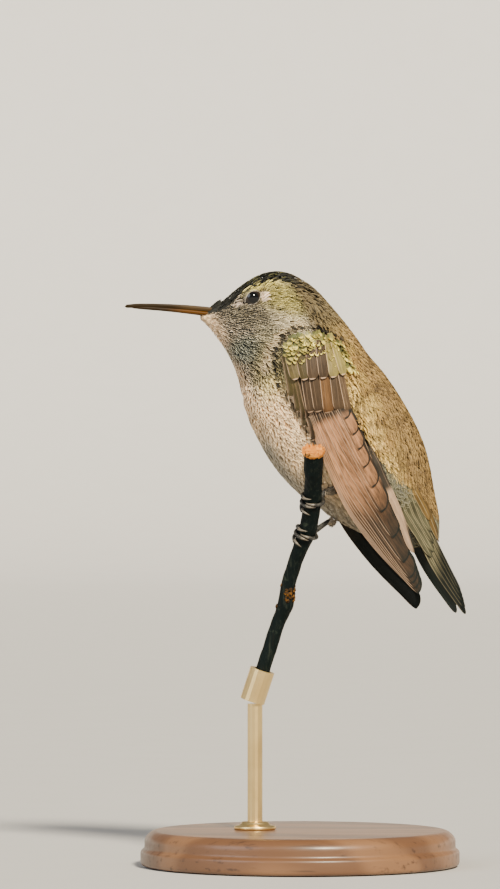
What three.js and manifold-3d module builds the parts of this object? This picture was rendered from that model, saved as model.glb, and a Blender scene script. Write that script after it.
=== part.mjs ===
// A life-size perched hummingbird on a cut stem, held up by a plain display stand.
// Millimetres, +Z up. The origin is the centre of the base's underside. The bill points to -X,
// and the bird's left side faces -Y.
import * as THREE from "three";
import { mergeVertices } from "three/addons/utils/BufferGeometryUtils.js";
import Module from "manifold-3d";

const wasm = await Module();
wasm.setup();
const { degToRad, lerp, clamp, smoothstep } = THREE.MathUtils;

// ---- Driving dimensions ----

const GAP = 0.3; // between pieces that touch
const THIN = 0.6; // the thinnest feather blade
const LEFT = -1; // the bird's left side, as a sign of Y
const RIGHT = 1;
const BIRD_TURN = degToRad(12); // about the vertical, bill towards -Y

// Sections of the plumage, bill root to covert tips, in the bird's plane of symmetry. centre is
// [x, z], tilt leans the section's top towards the tail, in degrees, and the rest are its radii.
const BODY = [
  { name: "bill root", centre: [-19.0, 110.0], tilt: 45, up: 1.2, down: 1.2, side: 1.4 },
  { name: "lores", centre: [-16.0, 110.8], tilt: 26, up: 3.2, down: 4.5, side: 3.5 },
  { name: "brow", centre: [-12.8, 111.5], tilt: 19, up: 5.3, down: 8.4, side: 5.5 },
  { name: "crown", centre: [-9.3, 111.7], tilt: 21, up: 7.5, down: 12.3, side: 6.8 },
  { name: "ear", centre: [-6.0, 109.7], tilt: 26, up: 9.7, down: 14.6, side: 7.7 },
  { name: "nape", centre: [-3.6, 105.4], tilt: 35, up: 11.9, down: 14.5, side: 8.8 },
  { name: "neck base", centre: [-1.6, 100.3], tilt: 44, up: 13.5, down: 13.5, side: 9.9 },
  { name: "breast", centre: [1.2, 95.8], tilt: 55, up: 13.7, down: 13.7, side: 10.7 },
  { name: "back", centre: [4.3, 91.8], tilt: 63, up: 14.5, down: 14.5, side: 11.0 },
  { name: "belly", centre: [7.5, 86.7], tilt: 69, up: 15.0, down: 15.0, side: 10.6 },
  { name: "flank", centre: [11.1, 82.0], tilt: 72, up: 14.2, down: 15.3, side: 9.6 },
  { name: "rump", centre: [15.2, 77.2], tilt: 73, up: 11.9, down: 14.6, side: 7.8 },
  { name: "vent", centre: [19.4, 72.4], tilt: 71, up: 8.6, down: 12.0, side: 5.6 },
  { name: "tail coverts", centre: [23.6, 68.2], tilt: 64, up: 5.4, down: 7.8, side: 3.9 },
  { name: "covert tips", centre: [28.0, 64.0], tilt: 55, up: 1.6, down: 2.4, side: 1.8 },
];
const HEAD_ENDS = 4.5; // in sections of BODY
const NECK_ENDS = 6.3;
const TRUNK_ENDS = 11.2;

const EYE = { centre: [-10.7, 4.65, 113.2], radius: 1.95 };

const BILL = { tip: [-35.7, 111.45], arch: [-25.2, 111.45], root: [-14.5, 110.0] };
const BILL_HEIGHT = 1.0; // each half, at its root
const BILL_WIDTH = 2.6;
const LOWER_BILL_SHARE = 0.93; // of the upper half's length

// The folded wing seen from the side, wrist to tip, as [x, z].
const WING_LEADING = [
  [-3.4, 106.5], [-6.0, 101.0], [-4.0, 93.5], [0.3, 84.5], [5.6, 73.2], [12.4, 62.6], [18.6, 55.9], [22.6, 53.3],
];
const WING_TRAILING = [
  [0.8, 107.3], [6.4, 102.4], [9.2, 95.0], [11.0, 85.5], [15.2, 75.8], [19.2, 66.4], [22.6, 57.6], [23.5, 54.0],
];
const WING_ARM_ENDS = 0.35; // share of the wing's length that the coverts take
const SECONDARIES_END = 0.66;
// How far each wing is held back from where the outline puts it, as [x, z].
const WING_SLIDE = { left: [0, 0], right: [3.5, -3.4] };

// The tail is an arch over the tail coverts, narrow and deep at its root, wide and flat at its end.
const TAIL_RIDGE = { root: [21.6, 82.5], bend: [25.1, 68.3], tip: [33.2, 54.2] };
const TAIL_ROOT_ARCH = { halfWidth: 5.0, drop: 7.4 };
const TAIL_END_ARCH = { halfWidth: 4.1, drop: 3.4 };
const TAIL_FORK = 3.5; // the outer feathers' lead over the middle ones
const FEATHERS_A_SIDE = 5;

// The stem's centre line, top to cut foot, as [x, y, z]. Places on it are shares of its length.
const STEM = [
  [2.4, -12.9, 81.8],
  [2.5, -10.9, 78.6],
  [2.4, -8.0, 74.0],
  [1.6, -4.8, 67.6],
  [-0.4, -2.8, 62.6],
  [-2.3, -0.9, 56.4],
  [-5.0, 0.7, 46.6],
  [-9.0, 1.6, 34.4],
];
const STEM_RADIUS = { top: 2.15, grip: 1.8, lower: 1.45 };
const STEM_KNOB = { at: 0.63, radius: 1.7, offset: [1.0, -0.7, -0.5] };
const STEM_CAP = { radius: 2.25, thickness: 1.1 };

// Each foot grips the stem at a share of its length, from its palm's angle about the stem.
const TOE_RADIUS = 0.42;
const CLAW_RADIUS = 0.28;
const TOE_SPREAD = 1.05; // along the stem, between neighbouring front toes
const FRONT_TOE_TURN = degToRad(200);
const HIND_TOE_TURN = degToRad(-125);
const FEET = {
  left: { at: 0.195, palm: degToRad(40), ankle: [5.6, -5.9, 74.4], thigh: [8.6, -3.4, 77.0] },
  right: { at: 0.335, palm: degToRad(25), ankle: [5.9, -0.4, 68.0], thigh: [10.0, 2.8, 73.0] },
};
const THIGH_RADIUS = 2.3;
const ANKLE_RADIUS = 0.75;
const TARSUS_RADIUS = 0.55;

const BASE = { radius: 32, height: 7, bevel: 1.2 };
const ROD_RADIUS = 1.5;
const ROD_SINK = 4; // depth of the rod in the base
const COLLAR = { radius: 4.2, height: 1.6 };
const CUP = { radius: 2.5, grip: 5, floor: 1.6 };

// ---- Small tools ----

const point = (x, y, z) => new THREE.Vector3(x, y, z);
const inPlane = ([x, z]) => point(x, 0, z);

// Moves every vertex of a closed three.js geometry to place(x, y, z).
function warp(geometry, place) {
  const spots = geometry.getAttribute("position");
  for (let i = 0; i < spots.count; i++) {
    const spot = place(spots.getX(i), spots.getY(i), spots.getZ(i));
    spots.setXYZ(i, spot.x, spot.y, spot.z);
  }
  return geometry;
}

// A manifold-3d solid of a closed geometry, facing out whichever way it was warped.
function solidOf(geometry) {
  const bare = geometry.clone();
  bare.deleteAttribute("normal");
  bare.deleteAttribute("uv");
  const merged = mergeVertices(bare, 1e-4);
  const build = (triVerts) =>
    new wasm.Manifold(
      new wasm.Mesh({
        numProp: 3,
        vertProperties: merged.attributes.position.array,
        triVerts,
      }),
    );
  const corners = new Uint32Array(merged.index.array);
  const made = build(corners);
  return made.volume() > 0 ? made : build(corners.toReversed());
}

function geometryOf(solid) {
  const mesh = solid.getMesh();
  const geometry = new THREE.BufferGeometry();
  geometry.setAttribute("position", new THREE.BufferAttribute(mesh.vertProperties, 3));
  geometry.setIndex(new THREE.BufferAttribute(mesh.triVerts, 1));
  geometry.computeVertexNormals();
  return geometry;
}

const join = (solids) => solids.reduce((sum, solid) => sum.add(solid));
const carve = (solid, ...tools) => tools.reduce((rest, tool) => rest.subtract(tool), solid);
const largest = (solid) =>
  solid.decompose().reduce((best, piece) => (piece.volume() > best.volume() ? piece : best));

// A thin solid over a grid. place(along, across, face) gives its points, with face -1 or 1.
function blade(alongSteps, acrossSteps, place) {
  const box = new THREE.BoxGeometry(1, 1, 1, acrossSteps, alongSteps, 1);
  return solidOf(warp(box, (x, y, z) => place(y + 0.5, x + 0.5, 2 * z)));
}

// A round solid along a curve, with radius(share) at each share of its length.
function tube(curve, radius, around, along) {
  const rod = new THREE.CylinderGeometry(1, 1, 1, around, along);
  const { normals, binormals } = curve.computeFrenetFrames(along, false);
  return solidOf(
    warp(rod, (x, y, z) => {
      const share = clamp(0.5 - y, 0, 1);
      const ring = Math.round(share * along);
      return curve
        .getPointAt(share)
        .addScaledVector(normals[ring], x * radius(share))
        .addScaledVector(binormals[ring], z * radius(share));
    }),
  );
}

// ---- Plumage of the head, neck, trunk and rump ----

const bodyPlaces = new THREE.CatmullRomCurve3(
  BODY.map(({ centre, tilt }) => point(centre[0], tilt, centre[1])),
  false,
  "catmullrom",
);
const bodySizes = new THREE.CatmullRomCurve3(
  BODY.map(({ up, down, side }) => point(up, down, side)),
  false,
  "catmullrom",
);

function section(t) {
  const { x, y: tilt, z } = bodyPlaces.getPoint(t);
  const { x: up, y: down, z: side } = bodySizes.getPoint(t);
  const lean = degToRad(tilt);
  const upwards = point(Math.sin(lean), 0, Math.cos(lean));
  const tailwards = point(Math.cos(lean), 0, -Math.sin(lean));
  return { centre: point(x, 0, z), upwards, tailwards, up, down, side };
}

function bodySolid(grow, around, along) {
  const ball = new THREE.SphereGeometry(1, around, along);
  return solidOf(
    warp(ball, (x, y, z) => {
      const t = Math.acos(clamp(y, -1, 1)) / Math.PI;
      const { centre, upwards, up, down, side } = section(t);
      const turn = Math.atan2(z, x);
      const pole = Math.hypot(x, z) < 1e-6 ? 0 : 1;
      const rise = pole * Math.cos(turn);
      const height = rise * (grow + (rise > 0 ? up : down));
      const width = pole * Math.sin(turn) * (grow + side);
      return centre.addScaledVector(upwards, height).add(point(0, width, 0));
    }),
  );
}

// The body between two places along it, each counted in sections of BODY.
function bodyBetween(whole, from, to) {
  const keep = (solid, at, sign) => {
    const { centre, tailwards } = section(at / (BODY.length - 1));
    const normal = tailwards.multiplyScalar(sign);
    return solid.trimByPlane(normal.toArray(), normal.dot(centre) + GAP / 2);
  };
  const front = from ? keep(whole, from, 1) : whole;
  return to ? keep(front, to, -1) : front;
}

function eyeBall(side, grow) {
  const [x, y, z] = EYE.centre;
  const ball = new THREE.SphereGeometry(EYE.radius + grow, 12, 9);
  return solidOf(ball.translate(x, side * y, z));
}

// ---- Bill ----

// One half of the bill: half is 1 for the upper one and -1 for the lower one.
function billHalf(half, share) {
  const whole = new THREE.QuadraticBezierCurve3(
    inPlane(BILL.root),
    inPlane(BILL.arch),
    inPlane(BILL.tip),
  );
  const rod = new THREE.CylinderGeometry(1, 1, 1, 10, 12);
  return solidOf(
    warp(rod, (x, y, z) => {
      const t = (0.5 - y) * share;
      const taper = Math.sqrt(1 - (t / share) ** 3 * 0.9);
      const height = BILL_HEIGHT * lerp(1, half > 0 ? 0.85 : 0.45, t) * taper;
      const width = (BILL_WIDTH / 2) * lerp(1, 0.34, smoothstep(t, 0, 0.8)) * taper;
      const rise = half * Math.max(half * z, 0) * height + half * 0.06;
      return whole.getPoint(t).add(point(0, x * width, rise));
    }),
  );
}

// ---- Wings ----

const outline = (points) => new THREE.SplineCurve(points.map(([x, z]) => new THREE.Vector2(x, z)));
const leadingEdge = outline(WING_LEADING);
const trailingEdge = outline(WING_TRAILING);

// Distance of the folded wing from the plane of symmetry: full at the body, closing in at the tip.
function wingReach(along, acrossShare) {
  const wrist = 2.4 * (1 - smoothstep(along, 0, 0.25));
  const tip = 3.8 * smoothstep(along, 0.3, 1);
  const camber = 0.8 * (1 - (2 * acrossShare - 1) ** 2);
  return 11.3 - wrist - tip + camber;
}

// A plate of the wing between two shares of its length and of its width.
function wingPlate(side, slide, spec) {
  const { length, width, lift, thick, steps, roundness = 0 } = spec;
  return blade(steps[0], steps[1], (s, c, face) => {
    const rounded = 1 - roundness * Math.abs(2 * c - 1) ** 2.5;
    const along = lerp(length[0], lerp(length[0], length[1], rounded), s);
    const acrossShare = lerp(width[0], width[1], c);
    const front = leadingEdge.getPoint(along);
    const spot = front.lerp(trailingEdge.getPoint(along), acrossShare).add(slide);
    const bulge = Math.sin(Math.PI * clamp(c, 0.06, 0.94)) * Math.sin(Math.PI * lerp(0.1, 0.9, s));
    const half = Math.max(thick * bulge, THIN) / 2;
    const reach = wingReach(along, acrossShare) + lift + face * half;
    return point(spot.x, side * reach, spot.y);
  });
}

const WING_PLATES = {
  coverts: { length: [0, WING_ARM_ENDS], width: [0, 1], lift: 0.35, thick: 2.1, steps: [8, 8] },
  primaries: {
    length: [WING_ARM_ENDS + 0.012, 1], width: [0, 1], lift: 0, thick: 0.9, steps: [14, 6],
  },
  secondaries: {
    length: [WING_ARM_ENDS + 0.012, SECONDARIES_END],
    width: [0.5, 0.98],
    lift: 1.0,
    thick: 0.7,
    steps: [7, 5],
    roundness: 0.35,
  },
};

// ---- Tail ----

const tailRidge = new THREE.QuadraticBezierCurve3(
  inPlane(TAIL_RIDGE.root),
  inPlane(TAIL_RIDGE.bend),
  inPlane(TAIL_RIDGE.tip),
);

// Half of the tail fan, from its ridge to its outer feather.
function tailHalf(side) {
  return blade(7, 3 * FEATHERS_A_SIDE, (along, share, face) => {
    const tangent = tailRidge.getTangent(along);
    const downwards = point(tangent.z, 0, -tangent.x);
    const turn = (share * Math.PI) / 2;
    const halfWidth = lerp(TAIL_ROOT_ARCH.halfWidth, TAIL_END_ARCH.halfWidth, along);
    const drop = lerp(TAIL_ROOT_ARCH.drop, TAIL_END_ARCH.drop, along);
    const inFeather = (share * FEATHERS_A_SIDE) % 1;
    const notch = share === 1 ? 1 : (2 * inFeather - 1) ** 2;
    const lead = TAIL_FORK * share ** 2 - 0.9 * notch;
    const half = (face * lerp(1, 0.7, along) * THIN) / 2;
    const outwards = point(0, side * Math.sin(turn), 0).addScaledVector(downwards, -Math.cos(turn));
    return tailRidge
      .getPoint(along)
      .add(point(0, side * (GAP / 2 + halfWidth * Math.sin(turn)), 0))
      .addScaledVector(downwards, drop * (1 - Math.cos(turn)))
      .addScaledVector(tangent, lead * along)
      .addScaledVector(outwards, half + 0.1 * face);
  });
}

// ---- Stem, feet and legs ----

const stemLine = new THREE.CatmullRomCurve3(STEM.map(([x, y, z]) => point(x, y, z)));

function stemRadius(share) {
  const { top, grip, lower } = STEM_RADIUS;
  return lerp(lerp(top, grip, smoothstep(share, 0, 0.09)), lower, smoothstep(share, 0.34, 0.44));
}

// The stem's frame at a share of its length: sideways near +X, outwards near +Y.
function stemFrame(share) {
  const tangent = stemLine.getTangentAt(share);
  const sideways = point(0, 1, 0).cross(tangent).normalize();
  const outwards = tangent.clone().cross(sideways);
  return { centre: stemLine.getPointAt(share), tangent, sideways, outwards };
}

function stemSolid(grow) {
  const shaft = tube(stemLine, (share) => stemRadius(share) + grow, 12, 22);
  const knob = new THREE.SphereGeometry(STEM_KNOB.radius + grow, 10, 6);
  const spot = stemLine.getPointAt(STEM_KNOB.at).add(point(...STEM_KNOB.offset));
  return shaft.add(solidOf(knob.translate(...spot)));
}

// The broken end: a rough-edged disc just past the stem's top.
function stemCap() {
  const { centre: top, sideways, outwards, tangent } = stemFrame(0);
  const disc = new THREE.CylinderGeometry(1, 1, 1, 16, 1);
  return solidOf(
    warp(disc, (x, y, z) => {
      const rough = 1 + 0.07 * Math.sin(5 * Math.atan2(z, x));
      const rise = GAP + STEM_CAP.thickness * (y + 0.5) * (1 + 0.25 * x);
      return top
        .clone()
        .addScaledVector(tangent, -rise)
        .addScaledVector(sideways, x * STEM_CAP.radius * rough)
        .addScaledVector(outwards, z * STEM_CAP.radius * rough);
    }),
  );
}

// A point beside the stem: turned about it, moved along it, and clear of it by more than a toe.
function besideStem(at, turn, shift) {
  const { centre, sideways, outwards, tangent } = stemFrame(at);
  const reach = stemRadius(at) + GAP + TOE_RADIUS + 0.05;
  return centre
    .addScaledVector(sideways, reach * Math.cos(turn))
    .addScaledVector(outwards, reach * Math.sin(turn))
    .addScaledVector(tangent, shift);
}

// A toe and its claw, bent round the stem from the palm.
function toe(at, palm, turn, spread) {
  const steps = 12;
  const path = Array.from({ length: steps + 1 }, (_, i) => {
    const share = i / steps;
    return besideStem(at, palm + turn * share, spread * smoothstep(share, 0, 0.35));
  });
  const curve = new THREE.CatmullRomCurve3(path);
  const radius = (t) => lerp(TOE_RADIUS, CLAW_RADIUS, smoothstep(t, 0.6, 1));
  return tube(curve, radius, 6, 8);
}

function footSolid({ at, palm, ankle }) {
  const front = [-1, 0, 1].map((n) => toe(at, palm, FRONT_TOE_TURN, n * TOE_SPREAD));
  const hind = toe(at, palm, HIND_TOE_TURN, 0.2);
  const shank = new THREE.CatmullRomCurve3([point(...ankle), besideStem(at, palm, 0)]);
  return join([...front, hind, tube(shank, () => TARSUS_RADIUS, 8, 2)]);
}

// The feathered thigh, tapering to the ankle.
function thighSolid({ ankle, thigh }) {
  const curve = new THREE.CatmullRomCurve3([point(...thigh), point(...ankle)]);
  return tube(curve, (t) => lerp(THIGH_RADIUS, ANKLE_RADIUS, smoothstep(t, 0, 1)), 10, 5);
}

// ---- Stand ----

const stemFoot = stemLine.getPointAt(1);
const cupAxis = stemLine.getTangentAt(1);

function baseSolid(rod) {
  const { radius, height, bevel } = BASE;
  const profile = [
    [0, 0],
    [radius - bevel / 2, 0],
    [radius, bevel / 2],
    [radius, height - bevel],
    [radius - bevel, height],
    [0, height],
  ];
  const disc = new THREE.LatheGeometry(
    profile.map(([r, y]) => new THREE.Vector2(r, y)),
    42,
  );
  return solidOf(disc.rotateX(Math.PI / 2)).subtract(rod);
}

const rodHeight = () => stemFoot.z - BASE.height + ROD_SINK;

function rodSolid(grow) {
  const rod = new THREE.CylinderGeometry(ROD_RADIUS + grow, ROD_RADIUS + grow, rodHeight(), 16);
  rod.rotateX(Math.PI / 2);
  const middle = BASE.height - ROD_SINK + rodHeight() / 2 - CUP.floor - 0.6;
  return solidOf(rod.translate(stemFoot.x, stemFoot.y, middle));
}

// The cup that holds the stem's cut foot, in line with the stem.
function cupSolid() {
  const cup = new THREE.CylinderGeometry(CUP.radius, CUP.radius, CUP.grip + CUP.floor, 20);
  cup.applyQuaternion(new THREE.Quaternion().setFromUnitVectors(point(0, 1, 0), cupAxis));
  const middle = stemFoot.clone().addScaledVector(cupAxis, (CUP.floor + GAP - CUP.grip) / 2);
  return solidOf(cup.translate(...middle));
}

function collarSolid() {
  const { radius, height } = COLLAR;
  const inner = ROD_RADIUS + GAP;
  const profile = [
    [inner, 0],
    [radius, 0],
    [radius, height * 0.5],
    [radius - height * 0.5, height],
    [inner, height],
    [inner, 0],
  ];
  const ring = new THREE.LatheGeometry(
    profile.map(([r, y]) => new THREE.Vector2(r, y)),
    20,
  );
  ring.rotateX(Math.PI / 2);
  return solidOf(ring.translate(stemFoot.x, stemFoot.y, BASE.height + 0.05));
}

// ---- The pieces, and their finishes ----

const finish = (color, roughness, metalness = 0) =>
  new THREE.MeshStandardMaterial({ color, roughness, metalness });
const FINISHES = {
  crown: finish("#4f4a30", 0.8),
  throat: finish("#8a8678", 0.85),
  plumage: finish("#9a8a5e", 0.8),
  rump: finish("#b0935a", 0.8),
  flight: finish("#7a5a48", 0.7),
  coverts: finish("#8f8a4e", 0.7),
  tail: finish("#8b8b70", 0.6),
  bill: finish("#1f1d1c", 0.4),
  billLower: finish("#a8641e", 0.45),
  eye: finish("#0b0a0a", 0.08),
  leg: finish("#2b2724", 0.6),
  stem: finish("#1d1f1c", 0.8),
  broken: finish("#c9853a", 0.9),
  brass: finish("#b08d4a", 0.3, 1),
  walnut: finish("#4a3020", 0.45),
};

const root = new THREE.Group();
const bird = new THREE.Group();
bird.rotation.z = BIRD_TURN;
root.add(bird);

function place(group, name, solid, material) {
  const mesh = new THREE.Mesh(geometryOf(solid), material);
  mesh.name = name;
  group.add(mesh);
}

// The stem stands in the part's frame, and the bird's pieces are cut in the bird's own.
const stem = stemSolid(0);
const stemRoom = stemSolid(GAP).rotate([0, 0, -THREE.MathUtils.radToDeg(BIRD_TURN)]);
const toBird = ([x, y, z]) => point(x, y, z).applyAxisAngle(point(0, 0, 1), -BIRD_TURN).toArray();
const bodyRoom = bodySolid(GAP, 24, 36);

const eyeRooms = [LEFT, RIGHT].map((side) => eyeBall(side, GAP / 2));
const body = carve(bodySolid(0, 26, 36), ...eyeRooms, stemRoom);
place(bird, "head", bodyBetween(body, 0, HEAD_ENDS), FINISHES.crown);
place(bird, "neck", bodyBetween(body, HEAD_ENDS, NECK_ENDS), FINISHES.throat);
place(bird, "trunk", bodyBetween(body, NECK_ENDS, TRUNK_ENDS), FINISHES.plumage);
place(bird, "rump", bodyBetween(body, TRUNK_ENDS, 0), FINISHES.rump);
place(bird, "bill_upper", carve(billHalf(1, 1), bodyRoom), FINISHES.bill);
place(bird, "bill_lower", carve(billHalf(-1, LOWER_BILL_SHARE), bodyRoom), FINISHES.billLower);

for (const [sideName, side] of [["left", LEFT], ["right", RIGHT]]) {
  place(bird, `eye_${sideName}`, eyeBall(side, 0), FINISHES.eye);
  const slide = new THREE.Vector2(...WING_SLIDE[sideName]);
  for (const [plateName, spec] of Object.entries(WING_PLATES)) {
    const plate = largest(carve(wingPlate(side, slide, spec), bodyRoom, stemRoom));
    const material = plateName === "coverts" ? FINISHES.coverts : FINISHES.flight;
    place(bird, `wing_${sideName}_${plateName}`, plate, material);
  }
  place(bird, `tail_${sideName}`, largest(carve(tailHalf(side), bodyRoom)), FINISHES.tail);
  const foot = FEET[sideName];
  const placed = { ...foot, ankle: toBird(foot.ankle), thigh: toBird(foot.thigh) };
  const thigh = largest(carve(thighSolid(placed), bodyRoom, stemRoom));
  place(bird, `thigh_${sideName}`, thigh, FINISHES.plumage);
  const footAlone = carve(footSolid(foot), thighSolid(foot), stemSolid(GAP / 2));
  place(root, `foot_${sideName}`, largest(footAlone), FINISHES.leg);
}

place(root, "perch_stem", stem, FINISHES.stem);
place(root, "perch_broken_end", stemCap(), FINISHES.broken);
const holder = cupSolid().add(rodSolid(0)).subtract(stemSolid(GAP));
place(root, "stand_rod", largest(holder), FINISHES.brass);
place(root, "stand_collar", collarSolid(), FINISHES.brass);
place(root, "stand_base", baseSolid(rodSolid(GAP)), FINISHES.walnut);

export default root;
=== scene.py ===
"""The looks of a perched hummingbird: its plumage, bill, eyes and feet, the stem it grips, and a
display stand, all placed on the frame. Metres, +Z up.
"""

import copy
import math

import bpy
import numpy as np
from bpy.props import FloatProperty, FloatVectorProperty, IntProperty, PointerProperty
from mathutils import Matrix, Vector
from mathutils.bvhtree import BVHTree


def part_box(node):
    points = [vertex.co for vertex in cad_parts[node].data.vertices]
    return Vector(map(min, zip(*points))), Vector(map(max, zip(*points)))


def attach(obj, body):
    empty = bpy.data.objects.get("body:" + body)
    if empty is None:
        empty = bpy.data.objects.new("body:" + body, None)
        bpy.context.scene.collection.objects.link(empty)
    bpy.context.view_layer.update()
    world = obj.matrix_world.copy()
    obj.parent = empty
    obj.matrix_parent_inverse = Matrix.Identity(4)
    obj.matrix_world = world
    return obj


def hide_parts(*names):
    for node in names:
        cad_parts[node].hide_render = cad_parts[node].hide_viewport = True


bl_info = {
    "name": "Hummingbird on a stem",
    "version": (1, 0, 0),
    "blender": (4, 5, 0),
    "location": "View3D > Sidebar > Hummingbird",
    "description": "Feathers, horn, bark and stand for a perched hummingbird",
    "category": "Object",
}

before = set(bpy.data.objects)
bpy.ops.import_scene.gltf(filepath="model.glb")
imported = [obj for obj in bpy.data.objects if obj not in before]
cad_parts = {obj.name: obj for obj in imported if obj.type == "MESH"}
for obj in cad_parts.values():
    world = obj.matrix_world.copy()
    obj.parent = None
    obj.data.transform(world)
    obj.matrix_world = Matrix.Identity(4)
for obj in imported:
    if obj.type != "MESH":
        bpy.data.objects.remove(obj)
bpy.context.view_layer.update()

MM = 0.001
UP = np.array([0.0, 0.0, 1.0])
RIGHT = np.array([0.0, 1.0, 0.0])
FLESH = ("head", "neck", "trunk", "rump")
THIGHS = ("thigh_left", "thigh_right")
SIDES = {"left": -1, "right": 1}  # which way each side lies along the bird's right
WING_PLATES = ("coverts", "primaries", "secondaries")
EYE_TILT = math.radians(38)  # of the lids' long axis, up towards the back
PATCH = 0.003  # size of a feather's patch on the bake map
PLUMAGE_RUN = 0.07  # from the bill's root to the tail coverts' tips


# ---- Numbers and places ----


def lerp(start, end, share):
    return start + (end - start) * share


def ease(value, low=0.0, high=1.0):
    """0 below low, 1 above high, and a smooth rise between."""
    share = np.clip((value - low) / (high - low), 0.0, 1.0)
    return share * share * (3 - 2 * share)


def unit(arrows):
    """The directions of some vectors."""
    arrows = np.asarray(arrows, float)
    return arrows / np.maximum(np.linalg.norm(arrows, axis=-1, keepdims=True), 1e-12)


def vectors(*parts):
    """Arrays or numbers as the parts of vectors, each spread over them all."""
    return np.stack(np.broadcast_arrays(*parts), axis=-1)


def read_along(marks, places, rows):
    """Reads rows of values at marks between the places that they belong to."""
    return vectors(*(np.interp(marks, places, column) for column in rows.T))


def read_between(grid, row, column, wraps=False):
    """Reads a grid between its points, at arrays of rows and columns counted in cells."""
    rows, columns = grid.shape[:2]
    upper = np.minimum(row.astype(int), rows - 2)
    left = np.floor(column).astype(int) if wraps else np.minimum(column.astype(int), columns - 2)
    row_share, column_share = row - upper, column - left
    if grid.ndim == 3:
        row_share, column_share = row_share[..., None], column_share[..., None]
    left, right = (left % columns, (left + 1) % columns) if wraps else (left, left + 1)
    first = lerp(grid[upper, left], grid[upper, right], column_share)
    second = lerp(grid[upper + 1, left], grid[upper + 1, right], column_share)
    return lerp(first, second, row_share)


def full_turn(count):
    """Angles spaced evenly round a circle."""
    return np.arange(count) / count * 2 * math.pi


def circle(turns, first, second):
    """Directions at angles from the first direction towards the second."""
    turns = np.asarray(turns)[..., None]
    return np.cos(turns) * first + np.sin(turns) * second


def box_of(node):
    return [np.array(corner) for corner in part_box(node)]


def middle(node):
    low, high = box_of(node)
    return (low + high) / 2


def bird_axes():
    """Rows that point aft, to the bird's right, and up, from where its eyes are."""
    right = middle("eye_right") - middle("eye_left")
    right[2] = 0
    right = unit(right)
    return np.array([np.cross(right, UP), right, UP])


AXES = bird_axes()
ORIGIN = (middle("eye_left") + middle("eye_right")) / 2 * [1, 1, 0]


def to_bird(points):
    return (np.asarray(points) - ORIGIN) @ AXES.T


def to_world(points):
    return np.asarray(points) @ AXES + ORIGIN


def corners_of(nodes):
    """The corners and triangles of some CAD nodes, in the bird's frame."""
    corners, triangles, count = [], [], 0
    for name in nodes:
        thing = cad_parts[name]
        mesh = thing.data
        mesh.calc_loop_triangles()
        spots = np.empty(len(mesh.vertices) * 3)
        mesh.vertices.foreach_get("co", spots)
        faces = np.empty(len(mesh.loop_triangles) * 3, int)
        mesh.loop_triangles.foreach_get("vertices", faces)
        turn = np.array(thing.matrix_world)
        corners.append(to_bird(spots.reshape(-1, 3) @ turn[:3, :3].T + turn[:3, 3]))
        triangles.append(faces.reshape(-1, 3) + count)
        count += len(mesh.vertices)
    return np.concatenate(corners), np.concatenate(triangles)


def ray_tree(nodes):
    corners, triangles = corners_of(nodes)
    return BVHTree.FromPolygons(corners.tolist(), triangles.tolist())


def smooth_path(points, count):
    """A smooth path through points, as count points evenly spaced along it."""
    points = np.asarray(points, float)
    before = np.vstack([2 * points[0] - points[1], points[:-1]])
    after = np.vstack([points[1:], 2 * points[-1] - points[-2]])
    slopes = (after - before) / 2
    share = np.linspace(0, 1, 24, endpoint=False)[:, None]
    legs = []
    for here, there, slope_here, slope_there in zip(points, points[1:], slopes, slopes[1:]):
        legs.append(
            (2 * share**3 - 3 * share**2 + 1) * here
            + (share**3 - 2 * share**2 + share) * slope_here
            + (3 * share**2 - 2 * share**3) * there
            + (share**3 - share**2) * slope_there
        )
    fine = np.vstack([*legs, points[-1:]])
    gone = np.concatenate([[0], np.cumsum(np.linalg.norm(np.diff(fine, axis=0), axis=1))])
    return read_along(np.linspace(0, gone[-1], count), gone, fine)


def shifted(grid, step, axis, wraps):
    """The grid moved by step cells, closing on itself or repeating its edge."""
    size = grid.shape[axis]
    index = np.arange(size) + step
    index = index % size if wraps else np.clip(index, 0, size - 1)
    return np.take(grid, index, axis=axis)


def blur(grid, passes, wraps):
    for _ in range(passes):
        for axis, closed in enumerate(wraps[:2]):
            sides = shifted(grid, 1, axis, closed) + shifted(grid, -1, axis, closed)
            grid = 0.5 * grid + 0.25 * sides
    return grid


def fill_dents(grid, reaches, wraps):
    """Raises dents narrower than twice the reaches, in cells, to the level round them."""
    for pick in (np.maximum, np.minimum):
        for axis, (reach, closed) in enumerate(zip(reaches, wraps)):
            steps = range(-reach, reach + 1)
            grid = pick.reduce([shifted(grid, step, axis, closed) for step in steps])
    return grid


class Surface:
    """A smooth surface over a grid. Its places run from 0 to 1 along, and from 0 to 1 across."""

    def __init__(self, points, closed):
        self.points = points
        self.closed = closed
        rows, columns = points.shape[:2]
        along = np.gradient(points, axis=0) * (rows - 1)
        if closed:
            across = (shifted(points, 1, 1, True) - shifted(points, -1, 1, True)) / 2 * columns
        else:
            across = np.gradient(points, axis=1) * (columns - 1)
        self.along_rate = np.linalg.norm(along, axis=2)
        self.across_rate = np.linalg.norm(across, axis=2)
        self.normals = unit(np.cross(across, along))
        self.end_run = along[-1:]

    def look_up(self, grid, along, across):
        """Reads one of its grids at arrays of places."""
        rows, columns = grid.shape[:2]
        row = np.clip(along, 0, 1) * (rows - 1)
        column = np.mod(across, 1) * columns if self.closed else np.clip(across, 0, 1) * (columns - 1)
        return read_between(grid, row, column, wraps=self.closed)

    def spots(self, along, across, height):
        """Points at these places, this far above the surface."""
        base = self.look_up(self.points, along, across)
        beyond = np.maximum(along - 1, 0)[..., None]
        base = base + beyond * self.look_up(np.repeat(self.end_run, 2, axis=0), along * 0, across)
        return base + unit(self.look_up(self.normals, along, across)) * height[..., None]


# ---- The forms that the frame gives ----


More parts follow.
